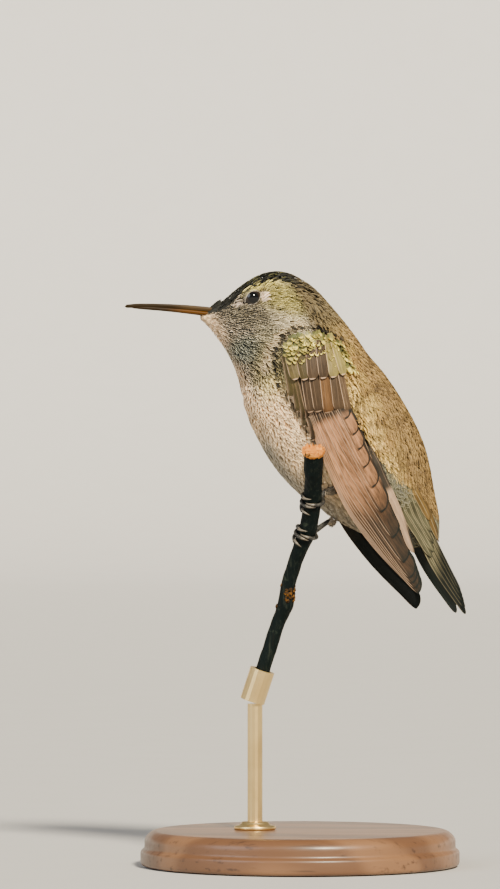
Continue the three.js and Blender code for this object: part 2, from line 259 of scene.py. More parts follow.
def outermost(tree, origin, outwards, gap=1.2 * MM):
    """How far a form goes from a point in it. Its solids may have narrow gaps between them."""
    reach = passed = 0.0
    while True:
        hit = tree.ray_cast(Vector(origin + outwards * (passed + 0.02 * MM)), Vector(outwards))
        if hit[0] is None:
            return reach
        passed = (np.array(hit[0]) - origin) @ outwards
        if np.array(hit[1]) @ outwards > 0:
            reach = passed
        elif passed > reach + gap and reach > 0:
            return reach


def round_form(nodes, spine, rows, columns, dents, passes):
    """The outside of some nodes round a spine in the bird's plane, from its start to its end.
    Across runs from the back, by the left side, and round the belly to the back again."""
    spine = smooth_path(spine, rows)
    heading = unit(blur(np.gradient(spine, axis=0), rows // 2, (False,)))
    backwards = unit(np.cross(heading, RIGHT))
    turns = full_turn(columns)
    tree = ray_tree(nodes)
    radii = np.zeros((rows, columns))
    directions = np.empty((rows, columns, 3))
    for row in range(rows):
        for column, turn in enumerate(turns):
            outwards = backwards[row] * math.cos(turn) - RIGHT * math.sin(turn)
            directions[row, column] = outwards
            radii[row, column] = outermost(tree, spine[row], outwards)
    ends = dents[0]
    radii = fill_dents(np.pad(radii, ((ends, ends), (0, 0))), dents, (False, True))[ends:-ends]
    radii = blur(radii, passes, (False, True))
    points = spine[:, None] + directions * radii[..., None]
    gone = np.cumsum(np.linalg.norm(np.diff(points, axis=0, prepend=points[:1]), axis=2), axis=0)
    share = np.linspace(0, 1, rows)
    for column in range(columns):
        points[:, column] = read_along(share, gone[:, column] / gone[-1, column], points[:, column])
    points[1:-1] = blur(points, 3, (False, True, False))[1:-1]
    return Surface(points, closed=True)


def plumage_spine():
    """Points through the middle of the plumage, from the bill's root to the tail coverts' tips."""
    head, _ = corners_of(["head"])
    rump, _ = corners_of(["rump"])
    front = head[np.argmin(head[:, 0])] * [1, 0, 1]
    inner = [to_bird(middle(node)) * [1, 0, 1] for node in FLESH]
    run = unit(inner[-1] - inner[-2])
    end = rump[np.argmax(rump @ run)] * [1, 0, 1]
    return [front, *inner, end]


class Panel:
    """Flattish nodes seen square on: how far out they reach, and their two edges. The first edge
    is the one that lies away from the direction called towards."""

    CELL = 0.3 * MM

    def __init__(self, nodes, along, out, towards, edge_nodes=None, passes=10, margin=8 * MM):
        along, out = unit(along), unit(out)
        across = unit(np.cross(along, out))
        along = np.cross(out, across)
        self.axes = np.array([along, across, out])
        self.hand = 1 if across @ towards > 0 else -1
        tree = ray_tree(nodes)
        corners = corners_of(edge_nodes or nodes)[0] @ self.axes.T
        edge_tree = ray_tree(edge_nodes or nodes)
        self.low, self.high = corners.min(axis=0), corners.max(axis=0)
        self.start = self.low[:2] - margin
        counts = ((self.high[:2] - self.low[:2] + 2 * margin) / self.CELL).astype(int) + 1
        top = self.high[2] + 30 * MM
        reach, own_reach = np.full(counts, np.nan), np.full(counts, np.nan)
        edges = []
        for row in range(counts[0]):
            held = []
            for column in range(counts[1]):
                place = self.start + np.array([row, column]) * self.CELL
                origin = Vector(np.array([*place, top]) @ self.axes)
                hit = tree.ray_cast(origin, Vector(-out))
                if hit[0] is not None:
                    reach[row, column] = top - hit[3]
                own_hit = edge_tree.ray_cast(origin, Vector(-out))
                if own_hit[0] is not None:
                    held.append(place[1])
                    own_reach[row, column] = top - own_hit[3]
            if held:
                edges.append((self.start[0] + row * self.CELL, held[0], held[-1]))
        self.edges = np.array(edges)
        self.rail = self.edges[len(edges) // 2, 1 if self.hand > 0 else 2]
        reach = self.filled(reach)
        self.reach = blur(reach, passes, (False, False))
        self.level_reach = blur(np.maximum(reach, self.filled(own_reach)), passes, (False, False))

    @staticmethod
    def filled(grid):
        """Spreads the known cells over the empty ones."""
        known = ~np.isnan(grid)
        grid = np.where(known, grid, 0)
        while not known.all():
            weight = np.zeros(grid.shape)
            total = np.zeros(grid.shape)
            for axis in (0, 1):
                for step in (-1, 1):
                    near = shifted(known, step, axis, False)
                    weight += near
                    total += near * shifted(grid, step, axis, False)
            fresh = ~known & (weight > 0)
            grid = np.where(fresh, total / np.maximum(weight, 1), grid)
            known = known | fresh
        return grid

    def levelled(self):
        """The same panel, whose surface runs on past its edges at their height."""
        other = copy.copy(self)
        other.reach = self.level_reach
        return other

    def place(self, share, aside):
        """Distances along and across, at a share of the length and so far from the first edge.
        That edge counts as straight, where it is half way along."""
        along = lerp(self.edges[0, 0], self.edges[-1, 0], np.asarray(share, float))
        return vectors(along, self.rail + self.hand * np.asarray(aside, float))

    def share_of(self, points):
        """The share of the length and the distance from the first edge. The reverse of place."""
        flat = points @ self.axes.T
        share = (flat[..., 0] - self.edges[0, 0]) / (self.edges[-1, 0] - self.edges[0, 0])
        return share, (flat[..., 1] - self.rail) * self.hand

    def sheet(self, shares, asides, rows=80, columns=60):
        """A grid over part of the panel for small feathers to lie on."""
        asides = asides if self.hand > 0 else asides[::-1]
        share, aside = np.meshgrid(np.linspace(*shares, rows), np.linspace(*asides, columns), indexing="ij")
        return Surface(self.spots(self.place(share, aside), 0.0), closed=False)

    def spots(self, places, height):
        """Points at distances along and across, this far above the nodes' surface."""
        last = np.array(self.reach.shape) - 1.001
        cell = np.clip((places - self.start) / self.CELL, 0, last)
        out = read_between(self.reach, cell[..., 0], cell[..., 1]) + height
        return np.concatenate([places, out[..., None]], axis=-1) @ self.axes


def slices(node, count, axis):
    """Where planes square to an axis cut a node's edges: (level, points) from first to last."""
    corners, triangles = corners_of([node])
    pairs = np.concatenate([triangles[:, [0, 1]], triangles[:, [1, 2]], triangles[:, [2, 0]]])
    start, end = corners[pairs[:, 0]], corners[pairs[:, 1]]
    first, last = start @ axis, end @ axis
    low, high = (corners @ axis).min(), (corners @ axis).max()
    found = []
    for level in np.linspace(low, high, count + 2)[1:-1]:
        cut = (first - level) * (last - level) < 0
        share = (level - first[cut]) / (last[cut] - first[cut])
        found.append((level, lerp(start[cut], end[cut], share[:, None])))
    return found


BODY_MIDDLE = to_bird((middle("trunk") + middle("rump")) / 2)


class Stem:
    """The stem's centre line and radius, read from its node, in the bird's frame."""

    def __init__(self):
        cuts = slices("perch_stem", 60, UP)[2:-2]
        line = np.array([points.mean(axis=0) for _, points in cuts])
        line = blur(line, 3, (False,))
        heading = unit(np.gradient(line, axis=0))
        radius = []
        for (_, points), centre, run in zip(cuts, line, heading):
            offset = points - centre
            offset = offset - (offset @ run)[:, None] * run
            radius.append(np.median(np.linalg.norm(offset, axis=1)))
        radius = blur(np.array(radius), 4, (False,))
        heights = corners_of(["perch_stem"])[0][:, 2]
        first = line[0] + heading[0] * (heights.min() - line[0, 2]) / heading[0, 2]
        last = line[-1] + heading[-1] * (heights.max() - line[-1, 2]) / heading[-1, 2] * 0.93
        self.line = np.vstack([first, line, last])
        self.heading = unit(np.gradient(self.line, axis=0))
        self.radius = np.concatenate([radius[:1], radius, radius[-1:]])

    def at(self, height):
        """The centre, heading and radius at heights in the bird's frame."""
        levels = self.line[:, 2]
        centre, heading = read_along(height, levels, self.line), read_along(height, levels, self.heading)
        return centre, unit(heading), np.interp(height, levels, self.radius)

    @staticmethod
    def facing(centre, heading):
        """Directions square to the stem: towards the body, and to one side of that."""
        inwards = (BODY_MIDDLE - centre) * [1, 1, 0]
        inwards = unit(inwards - np.sum(inwards * heading, -1, keepdims=True) * heading)
        return inwards, np.cross(heading, inwards)

    @staticmethod
    def rings(heading, around):
        """Directions square to the stem, all round it."""
        side = unit(np.cross(np.cross(heading, RIGHT), heading))
        return circle(full_turn(around), side[..., None, :], np.cross(heading, side)[..., None, :])

    def cleared(self, points, margin):
        """Moves points that are in or beyond the stem to its side that faces the body."""
        centre, heading, radius = self.at(points[..., 2])
        offset = points - centre
        inwards, sideways = self.facing(centre, heading)
        depth = np.sum(offset * inwards, -1)
        aside = np.sum(offset * sideways, -1)
        reach = radius + margin
        limit = np.sqrt(np.maximum(reach**2 - aside**2, 0))
        move = np.where((np.abs(aside) < reach) & (depth < limit), limit - depth, 0)
        in_height = points[..., 2] < self.line[-1, 2] + 0.6 * MM
        move = np.where(in_height & (move < 4 * MM), move, 0)
        return points + inwards * move[..., None]


# ---- Meshes ----


def make_object(name, points, faces, attributes=None, patches=None):
    """A mesh object from bird-frame points. patches gives each point its place on the bake map."""
    mesh = bpy.data.meshes.new(name)
    points = to_world(points.reshape(-1, 3))
    size = faces.shape[1]
    mesh.vertices.add(len(points))
    mesh.vertices.foreach_set("co", points.ravel())
    mesh.loops.add(faces.size)
    mesh.loops.foreach_set("vertex_index", faces.ravel().astype(np.int32))
    mesh.polygons.add(len(faces))
    mesh.polygons.foreach_set("loop_start", np.arange(0, faces.size, size, dtype=np.int32))
    mesh.update(calc_edges=True)
    for key, values in (attributes or {}).items():
        layer = mesh.attributes.new(key, "FLOAT_VECTOR", "POINT")
        layer.data.foreach_set("vector", np.asarray(values, np.float32).ravel())
    if patches is not None:
        layer = mesh.uv_layers.new(name="OFBake")
        layer.data.foreach_set("uv", patches.reshape(-1, 2)[faces.ravel()].astype(np.float32).ravel())
    mesh.polygons.foreach_set("use_smooth", np.ones(len(faces), bool))
    thing = bpy.data.objects.new(name, mesh)
    bpy.context.scene.collection.objects.link(thing)
    return thing


def grid_faces(rows, columns, closed=False):
    """Quads over a grid of points, closing across if asked."""
    row = np.arange(rows - 1)[:, None]
    column = np.arange(columns if closed else columns - 1)[None]
    nearby = (column + 1) % columns
    quads = [row * columns + column, row * columns + nearby]
    quads += [(row + 1) * columns + nearby, (row + 1) * columns + column]
    return np.stack([np.broadcast_to(q, (rows - 1, column.shape[1])) for q in quads], -1).reshape(-1, 4)


def round_faces(rings):
    """Quads over rings of points."""
    return grid_faces(*rings.shape[:2], closed=True)


def copies(faces, points_each, count):
    """The faces of one piece, repeated for count pieces."""
    offsets = np.arange(count)[:, None, None] * points_each
    return (faces[None] + offsets).reshape(-1, faces.shape[1])


def capped(rings, first, last):
    """The rings between two more that are drawn together to a point."""
    start, end = (np.broadcast_to(point, (1, *rings.shape[1:])) for point in (first, last))
    return np.concatenate([start, rings, end])


def tube(path, radii, around):
    """Points and faces of a closed round tube."""
    path = np.asarray(path, float)
    heading = unit(np.gradient(path, axis=0))
    guide = RIGHT if abs(heading[0, 1]) < 0.8 else np.array([1.0, 0.0, 0.0])
    sideways = np.empty_like(path)
    for k, run in enumerate(heading):
        guide = unit(guide - (guide @ run) * run)
        sideways[k] = guide
    ring = circle(full_turn(around), sideways[:, None], np.cross(heading, sideways)[:, None])
    points = capped(path[:, None] + ring * radii[:, None, None], path[0], path[-1])
    return points.reshape(-1, 3), round_faces(points)


def joined(parts):
    """Several (points, faces) as one."""
    points, faces, count = [], [], 0
    for some_points, some_faces in parts:
        points.append(some_points)
        faces.append(some_faces + count)
        count += len(some_points)
    return np.concatenate(points), np.concatenate(faces)


def lathe(profile, centre, around, axis=UP):
    """Points and faces of a turned piece. profile is [radius, height] from its axis back to it."""
    axis = unit(axis)
    side = unit(np.cross(axis, [0.0, 1.0, 0.3]))
    ring = circle(full_turn(around), side, np.cross(axis, side))
    points = np.asarray(centre) + profile[:, :1, None] * ring[None] + profile[:, 1:, None] * axis
    return points.reshape(-1, 3), round_faces(points)


def rounded_profile(corners, radius, steps=6):
    """A profile with each inner corner rounded off."""
    corners = np.asarray(corners, float)
    out = [corners[0]]
    for before, here, after in zip(corners, corners[1:], corners[2:]):
        lead, trail = before - here, after - here
        cut = min(radius, 0.45 * np.linalg.norm(lead), 0.45 * np.linalg.norm(trail))
        start, end = here + unit(lead) * cut, here + unit(trail) * cut
        share = np.linspace(0, 1, steps)[:, None]
        out.extend((1 - share) ** 2 * start + 2 * share * (1 - share) * here + share**2 * end)
    out.append(corners[-1])
    return np.array(out)


def finish_piece(thing, material, replaces=()):
    """Gives a piece its material and body, and hides the nodes that it stands for."""
    thing.data.materials.append(material)
    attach(thing, "root")
    if replaces:
        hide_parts(*replaces)


# ---- Shader nodes ----


class Value:
    """A shader socket. Python's arithmetic on it adds Math nodes."""

    def __init__(self, finish, socket):
        self.finish = finish
        self.socket = socket

    def math(self, operation, *others, first=None):
        values = dict(enumerate([self if first is None else first, *others]))
        return self.finish.add("ShaderNodeMath", {"operation": operation}, values)

    def __add__(self, other):
        return self.math("ADD", other)

    def __sub__(self, other):
        return self.math("SUBTRACT", other)

    def __mul__(self, other):
        return self.math("MULTIPLY", other)

    def __pow__(self, other):
        return self.math("POWER", other)

    def __rsub__(self, other):
        return self.math("SUBTRACT", self, first=other)

    __radd__ = __add__
    __rmul__ = __mul__

    def abs(self):
        return self.math("ABSOLUTE")

    def sin(self):
        return self.math("SINE")

    def max(self, other):
        return self.math("MAXIMUM", other)

    def min(self, other):
        return self.math("MINIMUM", other)

    def rise(self, low, high):
        """0 at low, 1 at high, smooth between. low may be the higher one."""
        values = {0: self, 1: low, 2: high, 3: 0.0, 4: 1.0}
        settings = {"interpolation_type": "SMOOTHSTEP", "clamp": True}
        return self.finish.add("ShaderNodeMapRange", settings, values)

    def bump(self, centre, width):
        """1 at centre, falling smoothly to 0 at width away."""
        return (self - centre).abs().rise(width, 0.0)


class Nodes:
    """The nodes of a material or a world while they are made."""

    def __init__(self, owner):
        owner.use_nodes = True
        self.tree = owner.node_tree

    def feed(self, socket, value):
        if isinstance(value, Value):
            self.tree.links.new(value.socket, socket)
        else:
            socket.default_value = value

    def add(self, kind, settings=None, values=None, out=0):
        """Adds a node, sets its settings and then its sockets, and gives one of its outputs, if any."""
        node = self.tree.nodes.new(kind)
        for key, value in (settings or {}).items():
            setattr(node, key, value)
        for key, value in (values or {}).items():
            self.feed(node.inputs[key], value)
        return None if out is None else Value(self, node.outputs[out])


class Finish(Nodes):
    """A material while its nodes are made."""

    def __init__(self, name, **constants):
        self.material = bpy.data.materials.new(name)
        super().__init__(self.material)
        self.tree.nodes.clear()
        shader = self.add("ShaderNodeBsdfPrincipled")
        self.shader = shader.socket.node
        self.add("ShaderNodeOutputMaterial", None, {0: shader}, out=None)
        self.set(**constants)

    def set(self, **values):
        """Sets or links the shader's sockets, named with _ for each space."""
        for key, value in values.items():
            self.feed(self.shader.inputs[key.replace("_", " ")], value)
        return self

    def mix(self, first, second, factor):
        """A colour between two colours."""
        settings = {"data_type": "RGBA", "clamp_factor": True}
        values = {0: factor, 6: self.colour(first), 7: self.colour(second)}
        return self.add("ShaderNodeMix", settings, values, out=2)

    @staticmethod
    def colour(value):
        return value if isinstance(value, Value) else (*value[:3], 1.0)

    def attribute(self, name):
        settings = {"attribute_type": "GEOMETRY", "attribute_name": name}
        return self.add("ShaderNodeAttribute", settings, out=1)

    def parts(self, vector):
        node = self.add("ShaderNodeSeparateXYZ", None, {0: vector}).socket.node
        return [Value(self, socket) for socket in node.outputs]

    def position(self):
        return self.add("ShaderNodeTexCoord", out=3)

    def noise(self, vector, scale, detail=3.0, roughness=0.5, stretch=None):
        if stretch:
            vector = self.add("ShaderNodeMapping", None, {0: vector, 3: stretch})
        values = {"Vector": vector, "Scale": scale, "Detail": detail, "Roughness": roughness}
        return self.add("ShaderNodeTexNoise", None, values)

    def feather(self):
        """What a feather's points carry: two colours, where they are on it, and their gaps to its
        side and its tip. The last is 1 on its underside, if it is a big one."""
        across, reach, _ = self.parts(self.attribute("web"))
        gaps = self.parts(self.attribute("edge"))
        return self.attribute("tint"), self.attribute("shade"), across, reach, *gaps

    def bumps(self, height, strength, distance):
        values = {"Height": height, "Strength": strength, "Distance": distance}
        self.set(Normal=self.add("ShaderNodeBump", None, values))
        return self


# ---- Feathers ----


class Vane:
    """One feather's outline over a grid: where each point is, as shares of length and half width."""

    def __init__(self, rows, columns, base=0.45, tip=0.6, round_off=0.3, notch=0.1, fullest=0.5):
        reach = np.linspace(0, 1, rows)[:, None] ** 0.85
        across = np.linspace(-1, 1, columns)[None]
        width = (base + (1 - base) * ease(reach, 0, fullest)) * (1 - (1 - tip) * ease(reach, 0.7, 1))
        barbs = notch * (np.arange(columns) % 2)[None] * ease(reach, 0.55, 1)
        self.reach = (reach * (1 - round_off * across**2) - barbs).ravel()
        self.across = (across * width).ravel()
        self.side = np.broadcast_to(across, (rows, columns)).ravel()
        self.share = np.broadcast_to(reach, (rows, columns)).ravel()
        self.faces = grid_faces(rows, columns)
        self.points = rows * columns
        self.side_gap = (1 - np.abs(self.side)) * (base + (1 - base) * 0.5)
        self.tip_gap = 1 - self.share


FACE_VANE = Vane(5, 7, base=0.5, tip=0.6, notch=0.07)


class Plumes:
    """Many small feathers: where each is rooted on a surface, its size and how it lies. Metres."""

    def __init__(self, places, seed):
        self.places = places
        self.chance = np.random.default_rng(seed)
        self.count = len(places)
        self.random = self.chance.random(self.count)

    def spread(self, amount):
        """A number for each feather, from -amount to amount."""
        return (self.chance.random(self.count) * 2 - 1) * amount

    def size(self, length, width, sink, lift, sway, cup=0.18):
        """length and width (half of it), how deep the root is, how far the tip stands proud."""
        self.length = length * (1 + self.spread(0.14))
        self.width = width * (1 + self.spread(0.12))
        self.sink = np.broadcast_to(sink, self.count)
        self.lift = lift + np.abs(self.spread(1)) ** 2 * lift * 1.5
        self.sway = self.spread(1) * sway
        self.cup = cup
        return self

    def keep(self, kept):
        for key in ("places", "random", "length", "width", "sink", "lift", "sway"):
            setattr(self, key, getattr(self, key)[kept])
        self.count = int(kept.sum())
        return self


def scatter(surface, spacing, low, high, seed, tries=8, cells_each_way=60):
    """Places spread evenly over a surface. spacing is a distance, or says it for arrays of points."""
    space = spacing if callable(spacing) else lambda points: np.full(points.shape[:-1], spacing)
    chance = np.random.default_rng(seed)
    rows = np.linspace(low, high, cells_each_way)
    turns = np.linspace(0, 1, cells_each_way, endpoint=False)
    mesh_rows, mesh_turns = np.meshgrid(rows, turns, indexing="ij")
    area = surface.look_up(surface.along_rate, mesh_rows, mesh_turns)
    area = area * surface.look_up(surface.across_rate, mesh_rows, mesh_turns)
    spots = surface.look_up(surface.points, mesh_rows, mesh_turns)
    density = area / space(spots) ** 2
    count = int(density.mean() * (high - low) * tries)
    chosen = chance.choice(density.size, count, p=(density / density.sum()).ravel())
    along = mesh_rows.ravel()[chosen] + (chance.random(count) - 0.5) * (high - low) / cells_each_way
    across = mesh_turns.ravel()[chosen] + (chance.random(count) - 0.5) / cells_each_way
    along = np.clip(along, low, high)
    spots = surface.look_up(surface.points, along, across)
    gaps = space(spots)
    cells, kept = {}, []
    keys = np.floor(spots / float(gaps.max())).astype(int)
    nearby = [(i, j, k) for i in (-1, 0, 1) for j in (-1, 0, 1) for k in (-1, 0, 1)]
    for index, (spot, gap, key) in enumerate(zip(spots.tolist(), gaps.tolist(), keys.tolist())):
        near = (cells.get((key[0] + i, key[1] + j, key[2] + k), ()) for i, j, k in nearby)
        if all(math.dist(spot, other) >= gap for held in near for other in held):
            cells.setdefault(tuple(key), []).append(spot)
            kept.append(index)
    return np.stack([along[kept], across[kept]], axis=1)


def grow(name, surface, plumes, vane, markings, finish, adjust=None):
    """A coat piece: one joined mesh of small feathers that lie on a surface and run along it."""
    along, across = plumes.places[:, 0], plumes.places[:, 1]
    run_rate = surface.look_up(surface.along_rate, along, across)
    side_rate = np.maximum(surface.look_up(surface.across_rate, along, across), 0.004)
    reach = vane.reach[None] * plumes.length[:, None]
    aside = vane.across[None] * plumes.width[:, None]
    bend = plumes.sway[:, None] * (0.6 + 0.4 * vane.share[None])
    forward = reach * np.cos(bend) - aside * np.sin(bend)
    sideways = reach * np.sin(bend) + aside * np.cos(bend)
    height = -plumes.sink[:, None] * (1 - vane.share[None]) ** 1.5
    height = height + plumes.lift[:, None] * vane.share[None] ** 2
    height = height - plumes.cup * plumes.width[:, None] * vane.side[None] ** 2 * vane.share[None]
    points = surface.spots(
        along[:, None] + forward / run_rate[:, None],
        across[:, None] + sideways / side_rate[:, None],
        height,
    )
    if adjust:
        points = adjust(points)
    seen = surface.spots(along + 0.75 * plumes.length / run_rate, across, np.zeros(plumes.count))
    tint, shade = markings(seen, plumes.random)
    side_gap = vane.side_gap[None] * plumes.width[:, None]
    tip_gap = vane.tip_gap[None] * plumes.length[:, None]
    attributes = {
        "web": vectors(aside / MM, reach / MM, plumes.random[:, None]),
        "edge": vectors(side_gap / MM, tip_gap / MM, 0),
        "tint": np.repeat(tint, vane.points, axis=0),
        "shade": np.repeat(shade, vane.points, axis=0),
    }
    patch_across = np.mod(across, 1)[:, None] * 0.99 + 0.004 + vane.side[None] * PATCH / 2
    patch_along = np.clip(along, 0, 1)[:, None] * 0.99 + 0.002 + vane.share[None] * PATCH
    faces = copies(vane.faces, vane.points, plumes.count)
    coat = make_object(name, points, faces, attributes, vectors(patch_across, patch_along))
    finish_piece(coat, finish)


class Blades:
    """Big feathers on a panel, joined in one closed mesh, each with its own strip of the bake map."""

    ACROSS = np.array([-1, -0.86, -0.62, -0.36, -0.14, -0.05, 0, 0.05, 0.14, 0.36, 0.62, 0.86, 1])
    ROOT, FULLEST = 0.6, 0.35  # width at the root, and where along it the feather is at its full width
    CUP, SHAFT = 0.06, 0.06 * MM  # how far the sides curve down, and the shaft stands up

    def __init__(self, panel, thickness, slots):
        self.panel = panel
        self.thickness = thickness
        self.slots = slots
        self.parts = []

    def add(self, path, webs, height, tint, shade, rows, tip, tilt=0.05, random=0.5, sink=0.4 * MM):
        """path is (share, distance from the first edge) from root to tip. webs are the widths on its
        first and second side. height lifts it off the panel, and sink lowers its root. tilt lowers
        its second side for each metre across. tip is the length of its rounded end, in widths."""
        path = np.asarray(path, float)
        path = smooth_path(np.column_stack([self.panel.place(*path.T), path[:, 0] * 0]), rows)[:, :2]
        length = np.linalg.norm(np.diff(path, axis=0), axis=1).sum()
        heading = unit(np.gradient(path, axis=0))
        sideways = np.stack([-heading[:, 1], heading[:, 0]], axis=1) * self.panel.hand
        share = np.sin(np.linspace(0, math.pi / 2, rows)) ** 0.85
        gone = np.linspace(0, 1, rows)
        path, sideways = read_along(share, gone, path), read_along(share, gone, sideways)
        near_tip = np.clip(1 - (1 - share) * length / (sum(webs) * 0.5 * tip), 0, 1)
        width = (self.ROOT + (1 - self.ROOT) * ease(share, 0, self.FULLEST)) * np.sqrt(1 - near_tip**2)
        reach = np.where(self.ACROSS < 0, webs[0], webs[1])
        aside = self.ACROSS * reach * width[:, None]
        places = path[:, None] + aside[..., None] * sideways[:, None]
        lift = height - tilt * np.maximum(aside, 0) - self.CUP * self.ACROSS**2 * reach * width[:, None]
        lift = lift - sink * ((1 - share) ** 2)[:, None] + self.SHAFT * (np.abs(self.ACROSS) < 0.01)
        top = self.panel.spots(places, lift)
        bottom = self.panel.spots(places, lift - self.thickness)
        tip_gap = (1 - share)[:, None] * length
        side_gap = np.minimum((1 - np.abs(self.ACROSS)) * reach * width[:, None], tip_gap * 1.2)
        web = vectors(aside / MM, share[:, None] * length / MM, random)
        edge = vectors(side_gap / MM, tip_gap / MM, 0)
        faces = grid_faces(rows, 2 * len(self.ACROSS), closed=True)
        start, gap = len(self.parts) / self.slots, 0.04 / self.slots
        lanes = np.linspace(start + gap, start + 1 / self.slots - gap, 2 * len(self.ACROSS))
        self.parts.append({
            "points": self.folded(top, bottom),
            "faces": faces[:, ::self.panel.hand] + sum(len(part["points"]) for part in self.parts),
            "patches": vectors(lanes, np.linspace(0.02, 0.98, rows)[:, None]).reshape(-1, 2),
            "web": self.folded(web, web),
            # The underside is marked, so that the finish paints shade on it
            "edge": self.folded(edge, edge + [0, 0, 1]),
            "tint": np.tile(tint, (rows * len(lanes), 1)),
            "shade": np.tile(shade, (rows * len(lanes), 1)),
        })

    @staticmethod
    def folded(top, bottom):
        """Rows that run over the top and back under the bottom."""
        return np.concatenate([top, bottom[:, ::-1]], axis=1).reshape(-1, 3)

    def build(self, name):
        whole = {key: np.concatenate([part[key] for part in self.parts]) for key in self.parts[0]}
        points, faces, patches = (whole.pop(key) for key in ("points", "faces", "patches"))
        return make_object(name, points, faces, whole, patches)


# ---- Sizes and colours that a user would change ----


def colour(name, description, default):
    return FloatVectorProperty(
        name=name, description=description, default=default, subtype="COLOR", size=3, min=0, max=1
    )


def length(name, description, millimetres):
    return FloatProperty(
        name=name, description=description, default=millimetres * MM, min=0, unit="LENGTH", precision=5
    )


class HummingbirdPlumage(bpy.types.PropertyGroup):
    """Sizes and colours of the small feathers."""

    face_spacing: length("Face spacing", "Distance between feathers round the bill and eyes", 0.38)
    body_spacing: length("Body spacing", "Distance between feathers on the breast and back", 0.37)
    coat_depth: length("Coat depth", "How far the skin lies under the body's outline", 1.1)
    face_depth: length("Face depth", "How far the skin lies under the outline at the bill", 0.4)
    crown: colour("Crown", "Centres of the crown feathers", (0.004, 0.0045, 0.004))
    crown_edge: colour("Crown edge", "Edges of the crown feathers", (0.055, 0.052, 0.014))
    gold: colour("Gold", "Sheen behind the eye", (0.80, 0.69, 0.21))
    nape: colour("Nape", "Hind neck", (0.18, 0.135, 0.065))
    cheek: colour("Cheek", "Side of the face", (0.05, 0.045, 0.032))
    throat: colour("Throat", "Centres of the throat feathers", (0.008, 0.011, 0.010))
    throat_edge: colour("Throat edge", "Edges of the throat feathers", (0.84, 0.68, 0.48))
    breast: colour("Breast side", "Greenish sides of the breast", (0.68, 0.55, 0.25))
    belly: colour("Belly", "Belly feathers", (1.0, 0.74, 0.44))
    mottle: colour("Mottling", "Dusky patches of the belly", (0.30, 0.20, 0.12))
    # Also the colour of the painted shade on the belly's underside
    vent_and_underside_shade: colour("Vent", "Under the tail", (0.26, 0.26, 0.22))
    back: colour("Back", "Bronze back and rump", (0.44, 0.27, 0.085))
    back_dark: colour("Back speckle", "Dark centres of the back feathers", (0.055, 0.030, 0.010))
    spot: colour("Eye spot", "Pale spot behind the eye", (1.0, 0.80, 0.62))


class HummingbirdFlight(bpy.types.PropertyGroup):
    """Sizes and colours of the wings and tail."""

    thickness: length("Feather thickness", "Thickness of a wing or tail feather", 0.06)
    primaries: IntProperty(name="Primaries", description="Long wing feathers a side", default=10, min=4)
    secondaries: IntProperty(name="Secondaries", description="Short wing feathers a side", default=6, min=2)
    vane: colour("Wing", "Rufous brown of the folded wing", (0.46, 0.225, 0.11))
    vane_edge: colour("Wing edge", "Pale edges and shafts", (0.74, 0.50, 0.33))
    # Also the colour of the painted shade on feather undersides, under the coverts and along hind rims
    vane_dusk_and_shade: colour("Wing dark", "Dusky tips and undersides", (0.008, 0.011, 0.010))
    covert_green: colour("Small coverts", "Yellow-green scales of the shoulder", (0.74, 0.62, 0.17))
    # Partly painted shade: the dark that shows in the gaps between the shoulder's scales
    covert_root_shade: colour("Small covert centres", "Dark centres of those scales", (0.07, 0.075, 0.022))
    covert_brown: colour("Large coverts", "Grey-brown coverts", (0.070, 0.045, 0.026))
    tail: colour("Tail", "Grey-green tail feathers", (0.085, 0.08, 0.045))
    # Partly the tail's own dark end, partly painted shade where the tail's end lies in shade
    tail_end_dark_and_shade: colour("Tail end", "Dark band at the tail's end", (0.001, 0.003, 0.003))
    tail_edge: colour("Tail edge", "Cream edges and shafts", (0.55, 0.46, 0.27))


class HummingbirdDetails(bpy.types.PropertyGroup):
    """Sizes and colours of the eyes, bill, feet, perch and stand."""

    iris: colour("Iris", "Dark brown iris", (0.008, 0.006, 0.005))
    bill_upper: colour("Upper bill", "Dark horn", (0.018, 0.010, 0.003))
    bill_lower: colour("Lower bill", "Amber base of the lower half", (0.075, 0.028, 0.001))
    leg: colour("Legs", "Scales of the toes", (0.010, 0.010, 0.009))
    claw: colour("Claws", "Pale horn", (0.13, 0.11, 0.085))
    bark: colour("Bark", "Dark stem", (0.001, 0.004, 0.004))
    bark_pale: colour("Bark ridges", "Pale edges of the stem", (0.035, 0.040, 0.028))
    wood: colour("Broken wood", "Splintered end", (0.50, 0.17, 0.018))
    walnut: colour("Walnut", "Stand's base", (0.11, 0.05, 0.022))
    brass: colour("Brass", "Stand's rod and collar", (0.75, 0.55, 0.24))
    floor: colour("Floor", "Studio floor", (0.50, 0.49, 0.475))
    key_power: FloatProperty(name="Key light", description="Strength of the main lamp", default=8.6, min=0)
    sky: FloatProperty(name="Sky", description="Strength of the pale surroundings", default=0.33, min=0)


def plumage_settings():
    return bpy.context.scene.hummingbird_plumage


def flight_settings():
    return bpy.context.scene.hummingbird_flight


def detail_settings():
    return bpy.context.scene.hummingbird_details


# ---- Markings ----


def patch(points, x, z, long, short, turn=0.0, soft=0.35):
    """1 in an ellipse seen from the side, fading at its edge. Millimetres from below the eyes."""
    angle = math.radians(turn)
    dx, dz = points[:, 0] - x, points[:, 2] - z
    along = (dx * math.cos(angle) + dz * math.sin(angle)) / long
    across = (dz * math.cos(angle) - dx * math.sin(angle)) / short
    return 1 - ease(np.hypot(along, across), 1 - soft, 1 + soft)


def speckle(points, scale, seed):
    """Smooth noise from 0 to 1 at points, from a few waves that cross."""
    chance = np.random.default_rng(seed)
    total = np.zeros(points.shape[:-1])
    for _ in range(9):
        wave = chance.normal(size=3)
        wave *= 2 * math.pi / scale * (0.6 + 0.8 * chance.random()) / np.linalg.norm(wave)
        total += np.sin(points @ wave + chance.random() * 2 * math.pi)
    return 0.5 + 0.5 * np.tanh(total / 3)


def paint(base, coat, mask):
    return lerp(base, np.array(coat), mask[:, None])


